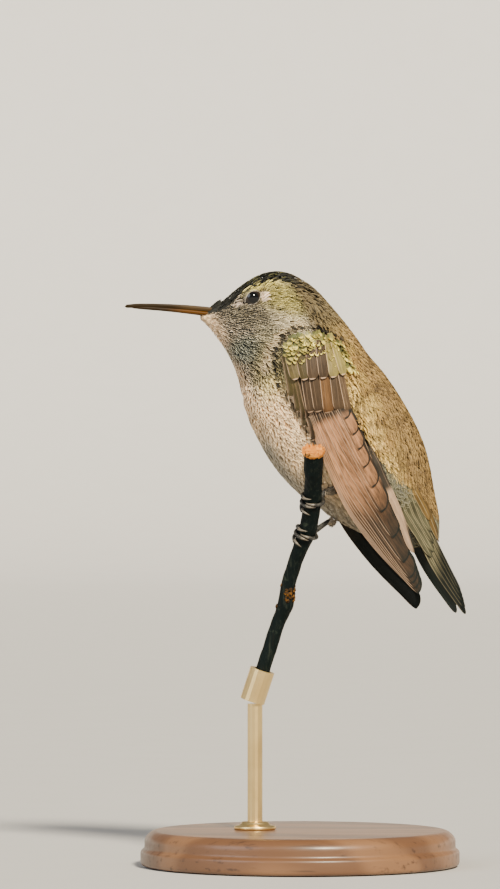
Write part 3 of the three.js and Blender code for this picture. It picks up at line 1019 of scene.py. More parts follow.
def near_line(spots, line, width):
    """1 on a line seen from the side, falling to 0 at width away. Millimetres."""
    flat, gap = spots[:, [0, 2]], np.full(len(spots), 99.0)
    for start, end in zip(line, line[1:]):
        run = end - start
        share = np.clip((flat - start) @ run / (run @ run), 0, 1)
        gap = np.minimum(gap, np.linalg.norm(flat - start - share[:, None] * run, axis=1))
    return 1 - ease(gap, width * 0.4, width)


# Lines on the plumage as x and height in millimetres: between crown and face, the pale stripe before
# the wing, the painted shadow in the fold round the wing's front and shoulder and in the crease below it, and
# the golden band on its hind edge
BROW = np.array([[-9, 109.6], [-5.6, 110.7], [-3.5, 112.4], [-1.9, 114.0], [0, 115.3], [2.5, 116.4],
                 [5, 116.9], [8, 116.2], [11, 114.2], [13, 111.5]])
STRIPE = np.array([[9.5, 107.8], [6.3, 106.4], [3.4, 103.6], [2.2, 99.0]])
WING_FOLD_SHADOW = np.array([[4.6, 95.6], [3.8, 99.2], [4.1, 102.6], [5.5, 105.4], [7.7, 106.9], [11, 107.2],
                 [14.2, 106.4], [18.7, 104.2], [22.8, 101.6]])
WING_CREASE_SHADOW = np.array([[12.1, 83.8], [6.0, 93.2], [4.6, 95.6]])
GLOW = np.array([[15.6, 99.0], [18.7, 91.0], [21.8, 85.0], [25.9, 79.0], [28.9, 73.0]])


def above_brow(x, z):
    """Millimetres above the line between crown and face."""
    return z - np.interp(x, *BROW.T)


def behind(x, z):
    """Millimetres aft of the line where belly and neck meet the back."""
    return x - 10.8 + (z - 108) * 0.41


def below_throat(x, z):
    """Millimetres down the front from where the throat's feathers end."""
    return (x - 8) * 0.44 - (z - 100) * 0.9


def body_markings(roots, random):
    """The edge and centre colours of small feathers, by where they show, with painted shade and light in
    places.
    """
    own = plumage_settings()
    spots = roots / MM * [1, 0, 1] + np.abs(roots) / MM * [0, 1, 0]
    x, aside, z = spots.T
    fine, broad = speckle(spots, 1.5, 5), speckle(spots, 6.0, 8)
    tint = np.tile(np.array(own.throat_edge), (len(spots), 1))
    shade = np.tile(np.array(own.throat), (len(spots), 1))

    def dye(mask, edge, centre):
        nonlocal tint, shade
        tint, shade = paint(tint, edge, mask), paint(shade, centre, mask)

    down = below_throat(x, z)
    lean = x + (z - 100) * 0.46
    shoulder = spots - np.where(roots[:, 1:2] > 0, np.array([3.5, 0, -3.4]), 0.0)
    dye(1 - ease(lean, -2.0, 1.0), (1.0, 0.80, 0.56), (0.02, 0.02, 0.017))
    # Partly the front's own pale feathers, partly painted light: the whole front edge of throat and breast
    # brightened, centres too
    dye(1 - ease(lean, -3.4, -1.4), (1.0, 0.76, 0.50), (0.60, 0.42, 0.25))
    dye(patch(spots, -0.8, 102.8, 3.6, 2.8, 0, 0.5), (0.64, 0.63, 0.47), (0.014, 0.020, 0.017))
    dye(patch(spots, 0.0, 109.8, 5.5, 2.6, -15, 0.5), (0.50, 0.42, 0.28), np.array(own.cheek) * 0.5)
    dye(patch(spots, 3.6, 105.0, 3.4, 2.4, -40, 0.5), (0.82, 0.71, 0.47), (0.10, 0.09, 0.055))
    dye(patch(spots, 7.2, 108.8, 4.2, 2.8, -35, 0.5) * 0.9, (1.0, 0.88, 0.60), (0.45, 0.38, 0.24))
    dye(patch(spots, 4.2, 97.0, 7.0, 3.6, 100, 0.5), own.breast, (0.15, 0.125, 0.06))
    belly = ease(down, 1, 7)
    dye(belly, own.belly, lerp(np.array(own.mottle), np.array(own.belly), 0.92))
    clumps = ease(broad * 0.3 + fine * 0.7, 0.5, 0.72)
    dye(belly * clumps * 0.5, own.mottle, own.mottle)
    # Painted shade: the belly's underside, which faces down, darkened towards the vent colour
    low = belly * ease(down, 8, 14) * (1 - ease(aside, 2.5, 6.5))
    dye(low * 0.75, own.vent_and_underside_shade, np.array(own.vent_and_underside_shade) * 0.4)
    dye(near_line(shoulder, STRIPE, 1.3) * ease(aside, 4, 6), own.belly, (0.36, 0.30, 0.18))
    dye(patch(spots, 6.6, 113.2, 5.4, 3.0, -20, 0.5), own.gold, (0.20, 0.17, 0.06))
    hind = ease(behind(x, z), -1.2, 1.6)
    dye(hind, own.nape, np.array(own.nape) * 0.25)
    mantle = hind * ease(down, -6, 4)
    dye(mantle, own.back, np.array(own.back) * 0.28)
    glow = ease(speckle(spots, 4.0, 3), 0.15, 0.95)
    ridge = ease(behind(x, z), 5.0, 10.0)
    gold = np.array(own.gold)
    dye(mantle * (0.08 + 0.52 * glow) * (1 - 0.8 * ridge), gold * [0.95, 0.80, 0.75], gold * [0.3, 0.25, 0.2])
    dye(mantle * ridge * 0.5, (0.21, 0.14, 0.062), own.back_dark)
    band = near_line(shoulder, GLOW, 4.5) * (1 - ridge) * ease(broad, 0.1, 0.5)
    dye(mantle * band * 0.75, gold * [1.25, 1.03, 1.2], gold * [0.36, 0.29, 0.25])
    dye(mantle * ease(fine * 0.6 + broad * 0.4, 0.45, 0.8) * 0.65, own.back_dark, own.back_dark)
    under = hind * ease(80.4 - (x - 25.4) * 0.86 - z, -0.4, 0.8) * ease(x, 20, 24)
    dye(under, np.array(own.vent_and_underside_shade) * [1.0, 0.93, 0.7], np.array(own.vent_and_underside_shade) * 0.3)
    crown = ease(above_brow(x, z), -0.3, 0.3) * (1 - ease(x, 7.5, 12))
    flecks = np.array(own.crown_edge)[None] * lerp(0.25, 2.6, (random > 0.72) * ease(x, -3, 3))[:, None]
    dye(crown, flecks, own.crown)
    brow = np.clip(ease(above_brow(x, z), -1.1, -0.5) - crown, 0, 1)
    dye(brow * ease(x, -2.2, -0.8) * (1 - ease(x, 4, 7)), gold * 1.25, gold * 0.6)
    dye(patch(spots, -2.6, 112.0, 0.9, 0.55, 20) * 0.85, own.spot, np.array(own.spot) * 0.5)
    dye(patch(spots, 2.4, 113.6, 0.8, 1.2, 8, 0.3), own.spot, own.spot)
    # Painted shadow: a near-black line in the fold between the body's feathers and each wing's front and top,
    # and down the crease below it
    dye(near_line(shoulder, WING_FOLD_SHADOW, 0.5) * ease(aside, 5.5, 7.5) * 0.9, own.crown, own.crown)
    dye(near_line(shoulder, WING_CREASE_SHADOW, 0.45) * ease(aside, 5.5, 7.5) * 0.8, own.crown, own.crown)
    swing = lerp(0.9, 0.35, np.maximum(belly, hind))
    vary = 1 + swing * (random - 0.5)
    return tint * vary[:, None], shade * vary[:, None]


# ---- Finishes ----


def feather_finish(name, fringe=0.3, barb=0.10, gloss=0.5, metal=0.0, base=0.0, contrast=1.0):
    """Small feathers: a dark centre, a pale fringe, fine barbs that slant to the edge."""
    finish = Finish(name, Specular_IOR_Level=0.25, Sheen_Weight=0.05, Sheen_Roughness=0.5)
    tint, shade, across, reach, side_gap, tip_gap, _ = finish.feather()
    streak = finish.noise(finish.attribute("web"), 5.0, detail=2.0, stretch=(1.6, 0.35, 9.0))
    slant = reach - across.abs() * 0.9
    barbs = (slant * (2 * math.pi / barb) + streak * 9.0).sin() * 0.5 + 0.5
    rim = side_gap.min(tip_gap * 0.8).rise(fringe, 0.0)
    pale = (rim * contrast + (streak - 0.5) * 0.9 + (barbs - 0.5) * 0.35 + base).rise(0.05, 0.75)
    coat = finish.mix(shade, tint, pale)
    depth = (0.82 + 0.18 * barbs) * (0.86 + 0.28 * streak)
    coat = finish.mix(coat, (0, 0, 0), 1 - depth)
    finish.set(Base_Color=coat, Roughness=gloss + 0.2 * streak)
    if metal:
        finish.set(Metallic=pale * metal)
    return finish.bumps(barbs + streak * 0.6, 0.35, 0.00004).material


def scale_finish(name):
    """Round scales, bright towards the tip, dark at the root and in a thin line round the rim: partly their
    own darker roots, partly painted shade in the gaps between the scales.
    """
    finish = Finish(name, Specular_IOR_Level=0.3)
    tint, shade, _, _, side_gap, tip_gap, _ = finish.feather()
    streak = finish.noise(finish.attribute("web"), 4.0, detail=3.0, stretch=(1.4, 0.5, 9.0))
    # Painted shade: darker towards each scale's root and round its rim, where the gaps between scales show
    root = (tip_gap + (streak - 0.5) * 0.7).rise(0.75, 1.3)
    rim = side_gap.min(tip_gap).rise(0.10, 0.02)
    coat = finish.mix(tint, shade, root.max(rim * 0.75))
    coat = finish.mix(coat, shade, streak.rise(0.5, 0.85) * 0.6)
    finish.set(Base_Color=coat, Roughness=0.36 + 0.2 * streak, Metallic=(1 - root) * 0.25)
    return finish.bumps(streak, 0.4, 0.00005).material


def back_finish(name):
    return feather_finish(name, fringe=0.30, gloss=0.45, metal=0.2, base=0.06, contrast=0.95)


def skin_finish():
    """The down and skin under the small feathers, in the same markings."""
    finish = Finish("down_and_skin", Specular_IOR_Level=0.2)
    place = finish.position()
    down = finish.noise(place, 1400.0, detail=4.0, stretch=(1.0, 1.0, 0.4))
    coat = finish.mix(finish.attribute("shade"), finish.attribute("tint"), down.rise(0.4, 0.9) * 0.5)
    finish.set(Base_Color=finish.mix(coat, (0, 0, 0), 0.35), Roughness=0.85 + 0.1 * down)
    return finish.bumps(down, 0.5, 0.0001).material


def flight_finish(name, rim_width, rim_reach, barb=0.12, gloss=0.42, dusk=None, dark_end=0.0,
                  pale_tip=0.0, pale=None, shaft=0.3, shaded_root=None, edge=0.16):
    """Wing and tail feathers: a pale shaft and leading edge, slanting barbs, a dark hind rim that is partly
    the feather's dusky edge and partly painted shadow under that edge, painted shade spreading in from
    that rim, and painted shade on the underside. dusk and shaded_root are where it darkens to the tip
    and where the painted shadow of the coverts clears from the root, in millimetres."""
    own = flight_settings()
    pale = pale or own.vane_edge
    finish = Finish(name, Specular_IOR_Level=0.14)
    tint, shade, across, reach, side_gap, tip_gap, under = finish.feather()
    cloud = finish.noise(finish.attribute("web"), 0.8, detail=4.0, stretch=(1.8, 0.25, 13.0))
    fine = finish.noise(finish.attribute("web"), 6.0, detail=2.0, stretch=(2.4, 0.12, 13.0))
    slant = reach - across.abs() * 1.3
    barbs = (slant * (2 * math.pi / barb) + cloud * 5.0).sin() * 0.5 + 0.5
    coat = finish.mix(tint, shade, cloud.rise(0.40, 0.64) * 0.6 + fine.rise(0.45, 0.62) * 0.5)
    if dusk:
        coat = finish.mix(coat, own.vane_dusk_and_shade, reach.rise(*dusk) * 0.9)
    # Painted shadow of the coverts over the flight feathers' roots
    if shaded_root:
        coat = finish.mix(coat, own.vane_dusk_and_shade, reach.rise(shaded_root[1], shaded_root[0]) * 0.92)
    # Dark end of the tail feathers: partly their own dark band, partly painted shade
    if dark_end:
        end = (tip_gap + (cloud - 0.5) * 3.0).rise(dark_end, dark_end * 0.6)
        coat = finish.mix(coat, own.tail_end_dark_and_shade, end * 0.95)
    coat = finish.mix(coat, (0, 0, 0), 0.2 * barbs)
    if pale_tip:
        coat = finish.mix(coat, pale, tip_gap.rise(pale_tip, pale_tip * 0.3) * 0.75)
    hind = across.rise(-0.3, 0.2)
    # Painted shadow along the hind rim, partly the feather's own dusky edge, and painted shade spreading in
    # from it
    rim = side_gap.rise(rim_width, rim_width * 0.5) * tip_gap.rise(rim_reach, rim_reach * 0.4)
    near = side_gap.rise(rim_width * 3.5, rim_width) * tip_gap.rise(rim_reach, 0.0) * 0.4
    coat = finish.mix(coat, own.vane_dusk_and_shade, (rim * 0.96).max(near) * (0.3 + 0.7 * hind))
    leading = side_gap.rise(edge, edge * 0.4) * (1 - hind) * tip_gap.rise(0.4, 1.6)
    if dark_end:
        leading = leading * (1 - end * 0.65)
        shaft = shaft * (1 - end)
    coat = finish.mix(coat, pale, leading * (0.15 + 0.5 * fine))
    coat = finish.mix(coat, pale, across.abs().rise(0.08, 0.04) * shaft * tip_gap.rise(0.2, 2.0))
    # Painted shade on the underside of each feather
    coat = finish.mix(coat, own.vane_dusk_and_shade, under * 0.93)
    finish.set(Base_Color=coat, Roughness=gloss + 0.15 * fine)
    return finish.bumps(barbs * 0.6 + fine, 0.3, 0.00005).material


def eye_finish():
    own = detail_settings()
    gloss = {"Roughness": 0.05, "Coat_Weight": 0.25, "Coat_Roughness": 0.02}
    finish = Finish("eye_gloss", Specular_IOR_Level=0.3, **gloss)
    aside, up, _ = finish.parts(finish.attribute("look"))
    radius = (aside * aside + up * up) ** 0.5
    rays = finish.noise(finish.attribute("look"), 9.0, detail=3.0)
    iris = finish.mix(own.iris, (0.03, 0.016, 0.008), rays.rise(0.4, 0.8))
    coat = finish.mix((0.0015, 0.0015, 0.002), iris, radius.rise(0.52, 0.6))
    return finish.set(Base_Color=coat).material


def plain_finish(name, specular, scale, base, layers, gloss, relief=None, **noise):
    """One noise over a base colour. layers are (colour, low, high, strength), gloss is a roughness
    and how much the noise adds, and relief is the strength and height of its bumps."""
    finish = Finish(name, Specular_IOR_Level=specular)
    grain = finish.noise(finish.position(), scale, **noise)
    for tone, low, high, strength in layers:
        base = finish.mix(base, tone, grain.rise(low, high) * strength)
    finish.set(Base_Color=base, Roughness=gloss[0] + gloss[1] * grain)
    if relief:
        finish.bumps(grain, *relief)
    return finish.material


def lid_finish():
    pale = ((0.36, 0.32, 0.26), 0.35, 0.7, 1.0)
    return plain_finish("eyelid_skin", 0.3, 2600.0, (0.09, 0.08, 0.065), [pale], (0.5, 0.2), (0.5, 0.00008))


def bill_finish(name, base, root, root_reach):
    """Horn that is one colour at the bill's root and dark towards its tip, with fine grain and a painted
    glint along it.
    """
    finish = Finish(name, Specular_IOR_Level=0.08)
    along, _, height = finish.parts(finish.attribute("horn"))
    grain = finish.noise(finish.attribute("horn"), 6.0, detail=4.0, stretch=(0.6, 8.0, 8.0))
    near = (along + (grain - 0.5) * 0.16).rise(root_reach, root_reach * 0.45)
    coat = finish.mix(base, root, near)
    # Painted glint: a pale line along the middle of each half, towards the root
    painted_glint = height.bump(0.46, 0.20) * along.rise(0.75, 0.3)
    coat = finish.mix(coat, (0.14, 0.105, 0.075), painted_glint * 0.5)
    coat = finish.mix(coat, (0, 0, 0), grain.rise(0.4, 0.8) * 0.35)
    finish.set(Base_Color=coat, Roughness=0.34 + 0.22 * grain)
    return finish.bumps(grain, 0.25, 0.00004).material


def toe_finish():
    """Toes scaled across the top, in small grains at the sides."""
    own = detail_settings()
    finish = Finish("toe_scales", Specular_IOR_Level=0.5)
    place = finish.position()
    grain = finish.noise(place, 2400.0, detail=3.0)
    values = {"Vector": place, "Scale": 2600.0}
    cells = finish.add("ShaderNodeTexVoronoi", {"feature": "DISTANCE_TO_EDGE"}, values)
    coat = finish.mix(own.leg, (0.11, 0.095, 0.075), grain.rise(0.45, 0.8) * 0.7)
    coat = finish.mix(coat, (0.004, 0.004, 0.004), cells.rise(0.08, 0.0) * 0.7)
    finish.set(Base_Color=coat, Roughness=0.35 + 0.25 * grain)
    return finish.bumps(cells.rise(0.0, 0.2), 0.6, 0.00008).material


def claw_finish():
    dark = ((0.06, 0.05, 0.035), 0.4, 0.8, 0.8)
    return plain_finish("claw_horn", 0.5, 1800.0, detail_settings().claw, [dark], (0.3, 0.15), (0.2, 0.00004))


def bark_finish():
    """Near-black bark with lengthwise ridges, paler along their tops, and a few grey-green crusts."""
    own = detail_settings()
    finish = Finish("stem_bark", Specular_IOR_Level=0.1)
    place = finish.attribute("grain")
    ridges = finish.noise(place, 1.6, detail=5.0, roughness=0.6, stretch=(1.0, 1.0, 0.10))
    specks = finish.noise(place, 9.0, detail=4.0, roughness=0.65)
    crust = finish.noise(place, 0.55, detail=5.0, roughness=0.6)
    coat = finish.mix(own.bark, own.bark_pale, (ridges + (specks - 0.5) * 0.4).rise(0.52, 0.78) * 0.55)
    coat = finish.mix(coat, (0.004, 0.005, 0.004), ridges.rise(0.46, 0.36) * 0.8)
    coat = finish.mix(coat, (0.05, 0.065, 0.045), crust.rise(0.60, 0.70) * specks.rise(0.4, 0.6) * 0.6)
    finish.set(Base_Color=coat, Roughness=0.5 + 0.3 * specks)
    return finish.bumps(ridges * 1.2 + specks * 0.4, 0.6, 0.00025).material


def splinter_finish():
    """Fresh broken wood: orange fibres with darker gaps and a few charred crumbs."""
    own = detail_settings()
    finish = Finish("broken_wood", Specular_IOR_Level=0.25)
    place = finish.position()
    fibres = finish.noise(place, 1300.0, detail=5.0, roughness=0.6)
    crumbs = finish.noise(place, 700.0, detail=3.0)
    coat = finish.mix(own.wood, (0.66, 0.30, 0.06), fibres.rise(0.45, 0.75))
    coat = finish.mix(coat, (0.16, 0.05, 0.015), fibres.rise(0.46, 0.34) * 0.85)
    coat = finish.mix(coat, (0.03, 0.02, 0.01), crumbs.rise(0.62, 0.70) * 0.9)
    finish.set(Base_Color=coat, Roughness=0.75 + 0.2 * fibres)
    return finish.bumps(fibres + crumbs, 0.6, 0.0002).material


def lichen_finish():
    layers = [((0.22, 0.09, 0.010), 0.48, 0.70, 1.0), ((0.07, 0.03, 0.01), 0.42, 0.32, 1.0)]
    return plain_finish("orange_lichen", 0.2, 1500.0, (0.02, 0.01, 0.003), layers, (0.8, 0.1), (0.7, 0.0002),
                        detail=4.0, roughness=0.65)


def walnut_finish():
    """Oiled walnut: growth rings cut across, fine pores along the grain."""
    own = detail_settings()
    finish = Finish("walnut", Specular_IOR_Level=0.4, Coat_Weight=0.25, Coat_Roughness=0.25)
    place = finish.position()
    bent = finish.noise(place, 22.0, detail=3.0, stretch=(0.4, 1.6, 1.0))
    x, y, z = finish.parts(place)
    ring = (y * 330.0 + x * 40.0 + z * 120.0 + bent * 16.0).sin() * 0.5 + 0.5
    pores = finish.noise(place, 420.0, detail=4.0, roughness=0.6, stretch=(0.10, 1.8, 1.8))
    coat = finish.mix(own.walnut, (0.24, 0.12, 0.055), ring.rise(0.2, 0.9) * 0.55)
    coat = finish.mix(coat, (0.03, 0.013, 0.006), pores.rise(0.55, 0.72) * 0.75)
    finish.set(Base_Color=coat, Roughness=0.32 + 0.25 * pores)
    return finish.bumps(pores, 0.25, 0.0002).material


def brass_finish():
    """Turned brass, brushed round its axis, a little tarnished."""
    own = detail_settings()
    finish = Finish("brushed_brass", Metallic=1.0)
    place = finish.position()
    brushed = finish.noise(place, 500.0, detail=3.0, stretch=(0.15, 0.15, 5.0))
    stain = finish.noise(place, 90.0, detail=4.0)
    coat = finish.mix(own.brass, (0.42, 0.27, 0.10), stain.rise(0.45, 0.75) * 0.5)
    finish.set(Base_Color=coat, Roughness=0.22 + 0.2 * brushed + 0.12 * stain)
    return finish.bumps(brushed, 0.12, 0.00005).material


def floor_finish():
    layer = ((0.465, 0.455, 0.44), 0.3, 0.8, 0.25)
    return plain_finish("studio_floor", 0.2, 60.0, detail_settings().floor, [layer], (0.85, 0.1), detail=4.0)


# ---- The forms that several pieces share ----


def plumage_form():
    return round_form(FLESH, plumage_spine(), 150, 144, (9, 9), 4)


def thigh_form(side):
    corners, _ = corners_of([f"thigh_{side}"])
    foot = to_bird(middle(f"foot_{side}"))
    centre = corners.mean(axis=0)
    run = unit(foot - centre)
    reach = (corners - centre) @ run
    spine = [centre + run * reach.min() * 1.6, centre, centre + run * reach.max()]
    return round_form([f"thigh_{side}"], spine, 24, 32, (3, 3), 2)


def wing_panel(side):
    """The outside of a folded wing and of the body next to it, with the wing's own edges."""
    plates = [f"wing_{side}_{plate}" for plate in WING_PLATES]
    corners, _ = corners_of(plates)
    top, tip = corners[np.argmax(corners[:, 2])], corners[np.argmin(corners[:, 2])]
    run, towards = (tip - top) * [1, 0, 1], np.array([1.0, 0.0, 0.4])
    return Panel([*plates, *FLESH], run, RIGHT * SIDES[side], towards, edge_nodes=plates, passes=8)


def tail_panel(side, *more_nodes):
    """The outside of half the tail, measured from its outer edge to the ridge."""
    corners, _ = corners_of([f"tail_{side}"])
    root, tip = corners[np.argmax(corners[:, 2])], corners[np.argmin(corners[:, 2])]
    run = unit((tip - root) * [1, 0, 1])
    above = np.cross(run, RIGHT)
    nodes = [f"tail_{side}", *more_nodes]
    return Panel(nodes, run, above * 0.75 + RIGHT * SIDES[side], above * [1, 0, 1], edge_nodes=nodes[:1],
                 passes=6, margin=16 * MM)


def coat_depth(along):
    """How far the skin lies under the outline, thin at the bill."""
    own = plumage_settings()
    return lerp(own.face_depth, own.coat_depth, ease(along, 0.03, 0.34))


# ---- The body ----


def skin_piece(name, points, faces, patches=None, replaces=()):
    """Bare skin in the markings of the coat over it."""
    points = points.reshape(-1, 3)
    tint, shade = body_markings(points, np.full(len(points), 0.5))
    skin = make_object(name, points, faces, {"tint": tint, "shade": shade}, patches)
    finish_piece(skin, skin_finish(), replaces)


def places_over(rows, columns):
    """A grid of places over a closed form, along it and round it."""
    return np.meshgrid(np.linspace(0, 1, rows), np.arange(columns) / columns, indexing="ij")


def make_skin(plumage):
    """One skin for the body, with a shell for each thigh, whose patches lie above the body's."""
    along, across = places_over(110, 96)
    points = plumage.spots(along, across, -coat_depth(along) - 0.1 * MM)
    points[0], points[-1] = points[0].mean(axis=0), points[-1].mean(axis=0)
    parts = [(points.reshape(-1, 3), round_faces(points))]
    patches = [vectors(across, along * 0.9).reshape(-1, 2)]
    for index, side in enumerate(SIDES):
        steps, turns = places_over(16, 20)
        thigh = thigh_form(side).spots(steps, turns, np.full(steps.shape, -0.25 * MM))
        parts.append((thigh.reshape(-1, 3), round_faces(thigh)))
        lane = 0.1 + 0.5 * index
        patches.append(vectors(lane + turns * 0.3, 0.91 + steps * 0.08).reshape(-1, 2))
    points, faces = joined(parts)
    skin_piece("plumage_skin", points, faces, np.concatenate(patches), FLESH + THIGHS)


def feather_scale(points):
    """0 at the bill and round the eye, 1 on the body."""
    x, z = points[..., 0] / MM, points[..., 2] / MM
    gone = (x + 8) * 0.62 - (z - 110) * 0.55
    return ease(gone, 0, 26)


def round_the_eye(points):
    """1 at the edge of the eyes' lids, more outside it, and a lot on the head's middle."""
    flat = (points - to_bird(middle("eye_left"))) / MM
    along = flat[..., 0] * math.cos(EYE_TILT) + flat[..., 2] * math.sin(EYE_TILT)
    across = flat[..., 2] * math.cos(EYE_TILT) - flat[..., 0] * math.sin(EYE_TILT)
    distance = np.hypot(along / 1.9, across / 1.36)
    return np.where(np.abs(points[..., 1]) > 2 * MM, distance, 9.0)


def on_crown(points):
    x, z = points[..., 0] / MM, points[..., 2] / MM
    return (above_brow(x, z) > 0) & (x < 13)


def coat_zones(roots):
    """Parts of the coat: where each is, its finish, its slot, and how long and wide its feathers are."""
    x, _, z = (roots / MM).T
    crown = on_crown(roots)
    hind = (behind(x, z) > 0) & ~crown
    down = below_throat(x, z)
    front = ~hind & ~crown
    black = feather_finish("crown_feathers", fringe=0.12, base=-0.2)
    throat = feather_finish("throat_feathers", fringe=0.10, contrast=1.2, base=-0.14)
    belly = feather_finish("belly_feathers", fringe=0.35, gloss=0.6, contrast=0.6, base=0.25)
    return {
        "crown_coat": (crown, black, "crown_feathers", 1.7, 1.0),
        "face_coat": (front & (z > 106), throat, "throat_feathers", 1.0, 0.9),
        "throat_coat": (front & (z <= 106) & (down < -1), throat, "throat_feathers", 1.1, 0.85),
        "breast_coat": (front & (down >= -1) & (down < 9), belly, "body_feathers", 1.0, 1.0),
        "belly_coat": (front & (down >= 9), belly, "body_feathers", 1.0, 1.0),
        "back_coat": (hind & (z > 92), back_finish("back_feathers"), "rump_feathers", 1.1, 0.95),
        "rump_coat": (hind & (z <= 92), back_finish("rump_feathers"), "rump_feathers", 1.25, 0.95),
    }


def make_coat(plumage, stem):
    """The body's small feathers, in seven pieces. They leave out the eyes, and lie flat, short and
    straight at the end of the rump."""
    own, end = plumage_settings(), 0.985

    def spacing(points):
        gap = lerp(own.face_spacing, own.body_spacing, feather_scale(points))
        return gap * (1 + 0.4 * on_crown(points))

    def clear(points):
        return stem.cleared(points, 0.25 * MM)

    places = scatter(plumage, spacing, 0.004, end, seed=4)
    roots = plumage.look_up(plumage.points, places[:, 0], places[:, 1])
    places = places[round_the_eye(roots) > 1.0]
    roots = plumage.look_up(plumage.points, places[:, 0], places[:, 1])
    scale = feather_scale(roots)
    for index, (name, (mask, finish, slot, longer, wider)) in enumerate(coat_zones(roots).items()):
        size, along = scale[mask], places[mask][:, 0]
        plumes = Plumes(places[mask], seed=20 + index)
        long = lerp(1.4, 2.0, size) * longer * lerp(1, 0.5, ease(along, 0.95, end)) * MM
        wide = lerp(0.24, 0.46, size) * wider * MM
        plumes.size(long, wide, coat_depth(along) * 0.92, 0.03 * MM, sway=lerp(0.42, 0.32, size), cup=0.1)
        ends = ease(along, 0.97, 0.9)
        plumes.sway, plumes.lift = plumes.sway * ends, plumes.lift * ends
        tips = plumage.spots(along + plumes.length * 0.7 / PLUMAGE_RUN, plumes.places[:, 1], plumes.lift)
        plumes.keep((round_the_eye(tips) > 0.98) | (along > 0.3))
        vane = Vane(5, 7 if size.mean() < 0.4 else 5, base=0.55, tip=0.7, notch=0.07)
        grow(name, plumage, plumes, vane, body_markings, finish, clear)


# Rings round the root of the bill: x, lowest and highest point, half width, in millimetres
BILL_ROOT = [(-9.5, 109.0, 110.0, 0.45), (-9.0, 108.7, 110.3, 0.8), (-8.2, 107.9, 110.9, 1.2),
             (-7.4, 107.1, 111.6, 1.6), (-6.6, 106.3, 112.3, 2.0), (-5.6, 105.4, 113.1, 2.3)]


def make_bill_coat():
    """Short feathers that run on over the root of the bill, furthest under it."""
    turns = full_turn(24)
    x, low, high, wide = (np.array(column)[:, None] for column in zip(*BILL_ROOT))
    rise = (low + high) / 2 + np.cos(turns) * (high - low) / 2
    points = vectors(x, np.sin(turns) * wide, rise) * MM
    form = Surface(points, closed=True)
    middles = points.mean(axis=1, keepdims=True)
    under = np.concatenate([np.broadcast_to(middles[:1], points[:1].shape), lerp(middles, points, 0.94)])
    skin_piece("bill_root_skin", under, round_faces(under))
    places = scatter(form, 0.30 * MM, 0.0, 0.86, seed=15)
    plumes = Plumes(places, seed=16).size(1.0 * MM, 0.24 * MM, 0.15 * MM, 0.03 * MM, 0.2, cup=0.1)
    finish = feather_finish("bill_root_feathers", fringe=0.1, base=-0.1)
    grow("bill_root_coat", form, plumes, FACE_VANE, body_markings, finish)


def make_thigh_coat():
    """Short loose feathers down to the ankles."""
    finish = feather_finish("thigh_feathers", fringe=0.25, gloss=0.65)

    def pale(roots, random):
        tint = np.tile([0.60, 0.50, 0.38], (len(roots), 1)) * (0.7 + 0.5 * random)[:, None]
        return tint, tint * 0.35

    for index, side in enumerate(SIDES):
        form = thigh_form(side)
        places = scatter(form, 0.32 * MM, 0.02, 0.9, seed=7 + index)
        plumes = Plumes(places, seed=40 + index).size(1.1 * MM, 0.26 * MM, 0.22 * MM, 0.12 * MM, 0.35)
        grow(f"thigh_coat_{side}", form, plumes, Vane(5, 7, notch=0.16), pale, finish)


# ---- Wings and tail ----


# Flight feathers from the body outwards: place in the row, share of the wing that the tip reaches,
# and millimetres from the leading edge at the tip, at three quarters, half way and at the root
FLIGHT = np.array([
    [0.000, 0.335, 6.6, 6.4, 6.0, 5.4],
    [0.067, 0.396, 7.0, 6.6, 6.2, 5.2],
    [0.133, 0.449, 7.0, 6.5, 6.0, 4.8],
    [0.200, 0.513, 6.7, 6.0, 5.4, 4.2],
    [0.267, 0.587, 7.0, 5.9, 5.0, 3.7],
    [0.333, 0.676, 7.1, 5.7, 4.4, 3.0],
    [0.400, 0.774, 7.7, 5.5, 3.6, 2.4],
    [0.467, 0.867, 8.0, 5.2, 2.9, 1.9],
    [0.533, 0.925, 8.2, 4.9, 2.4, 1.6],
    [0.730, 0.985, 8.8, 4.4, 1.5, 1.0],
    [1.000, 0.970, 8.5, 3.3, 0.8, 0.4],
])


def add_flight_feathers(blades, own):
    """The flight feathers, each over the one inside it, and a cream strip under the innermost."""
    chance = np.random.default_rng(3)
    count = own.primaries + own.secondaries
    cream = np.array(own.vane_edge) * 0.6
    strip = np.array([(0.40, 9.7), (0.58, 10.6), (0.72, 11.1), (0.85, 10.9)]) * [1, MM]
    blades.add(strip, (1.2 * MM, 0.4 * MM), -0.16 * MM, cream, cream * 0.6, rows=34, tip=5.0, tilt=0.0)
    for index in range(count):
        order = index / (count - 1)
        tip, *asides = read_along(order, FLIGHT[:, 0], FLIGHT[:, 1:])
        shares = lerp(0.10, tip, np.array([0, 0.5, 0.75, 1]))
        path = np.column_stack([shares, np.array(asides[::-1]) * MM])
        outer = np.interp(order, [0, 0.4, 0.6, 1], [0.5, 0.55, 0.6, 0.4]) * MM
        inner = np.interp(order, [0, 0.2, 0.35, 0.5, 0.7, 1], [2.2, 2.7, 3.4, 3.4, 2.8, 2.0]) * MM
        random = chance.random()
        tint = np.array(own.vane) * (0.85 + 0.45 * random)
        blades.add(path, (outer, inner), (0.50 - 0.075 * index) * MM, tint, tint * 0.28, rows=36,
                   random=random, tip=np.interp(order, [0, 0.5, 0.8], [1.3, 1.6, 2.2]))


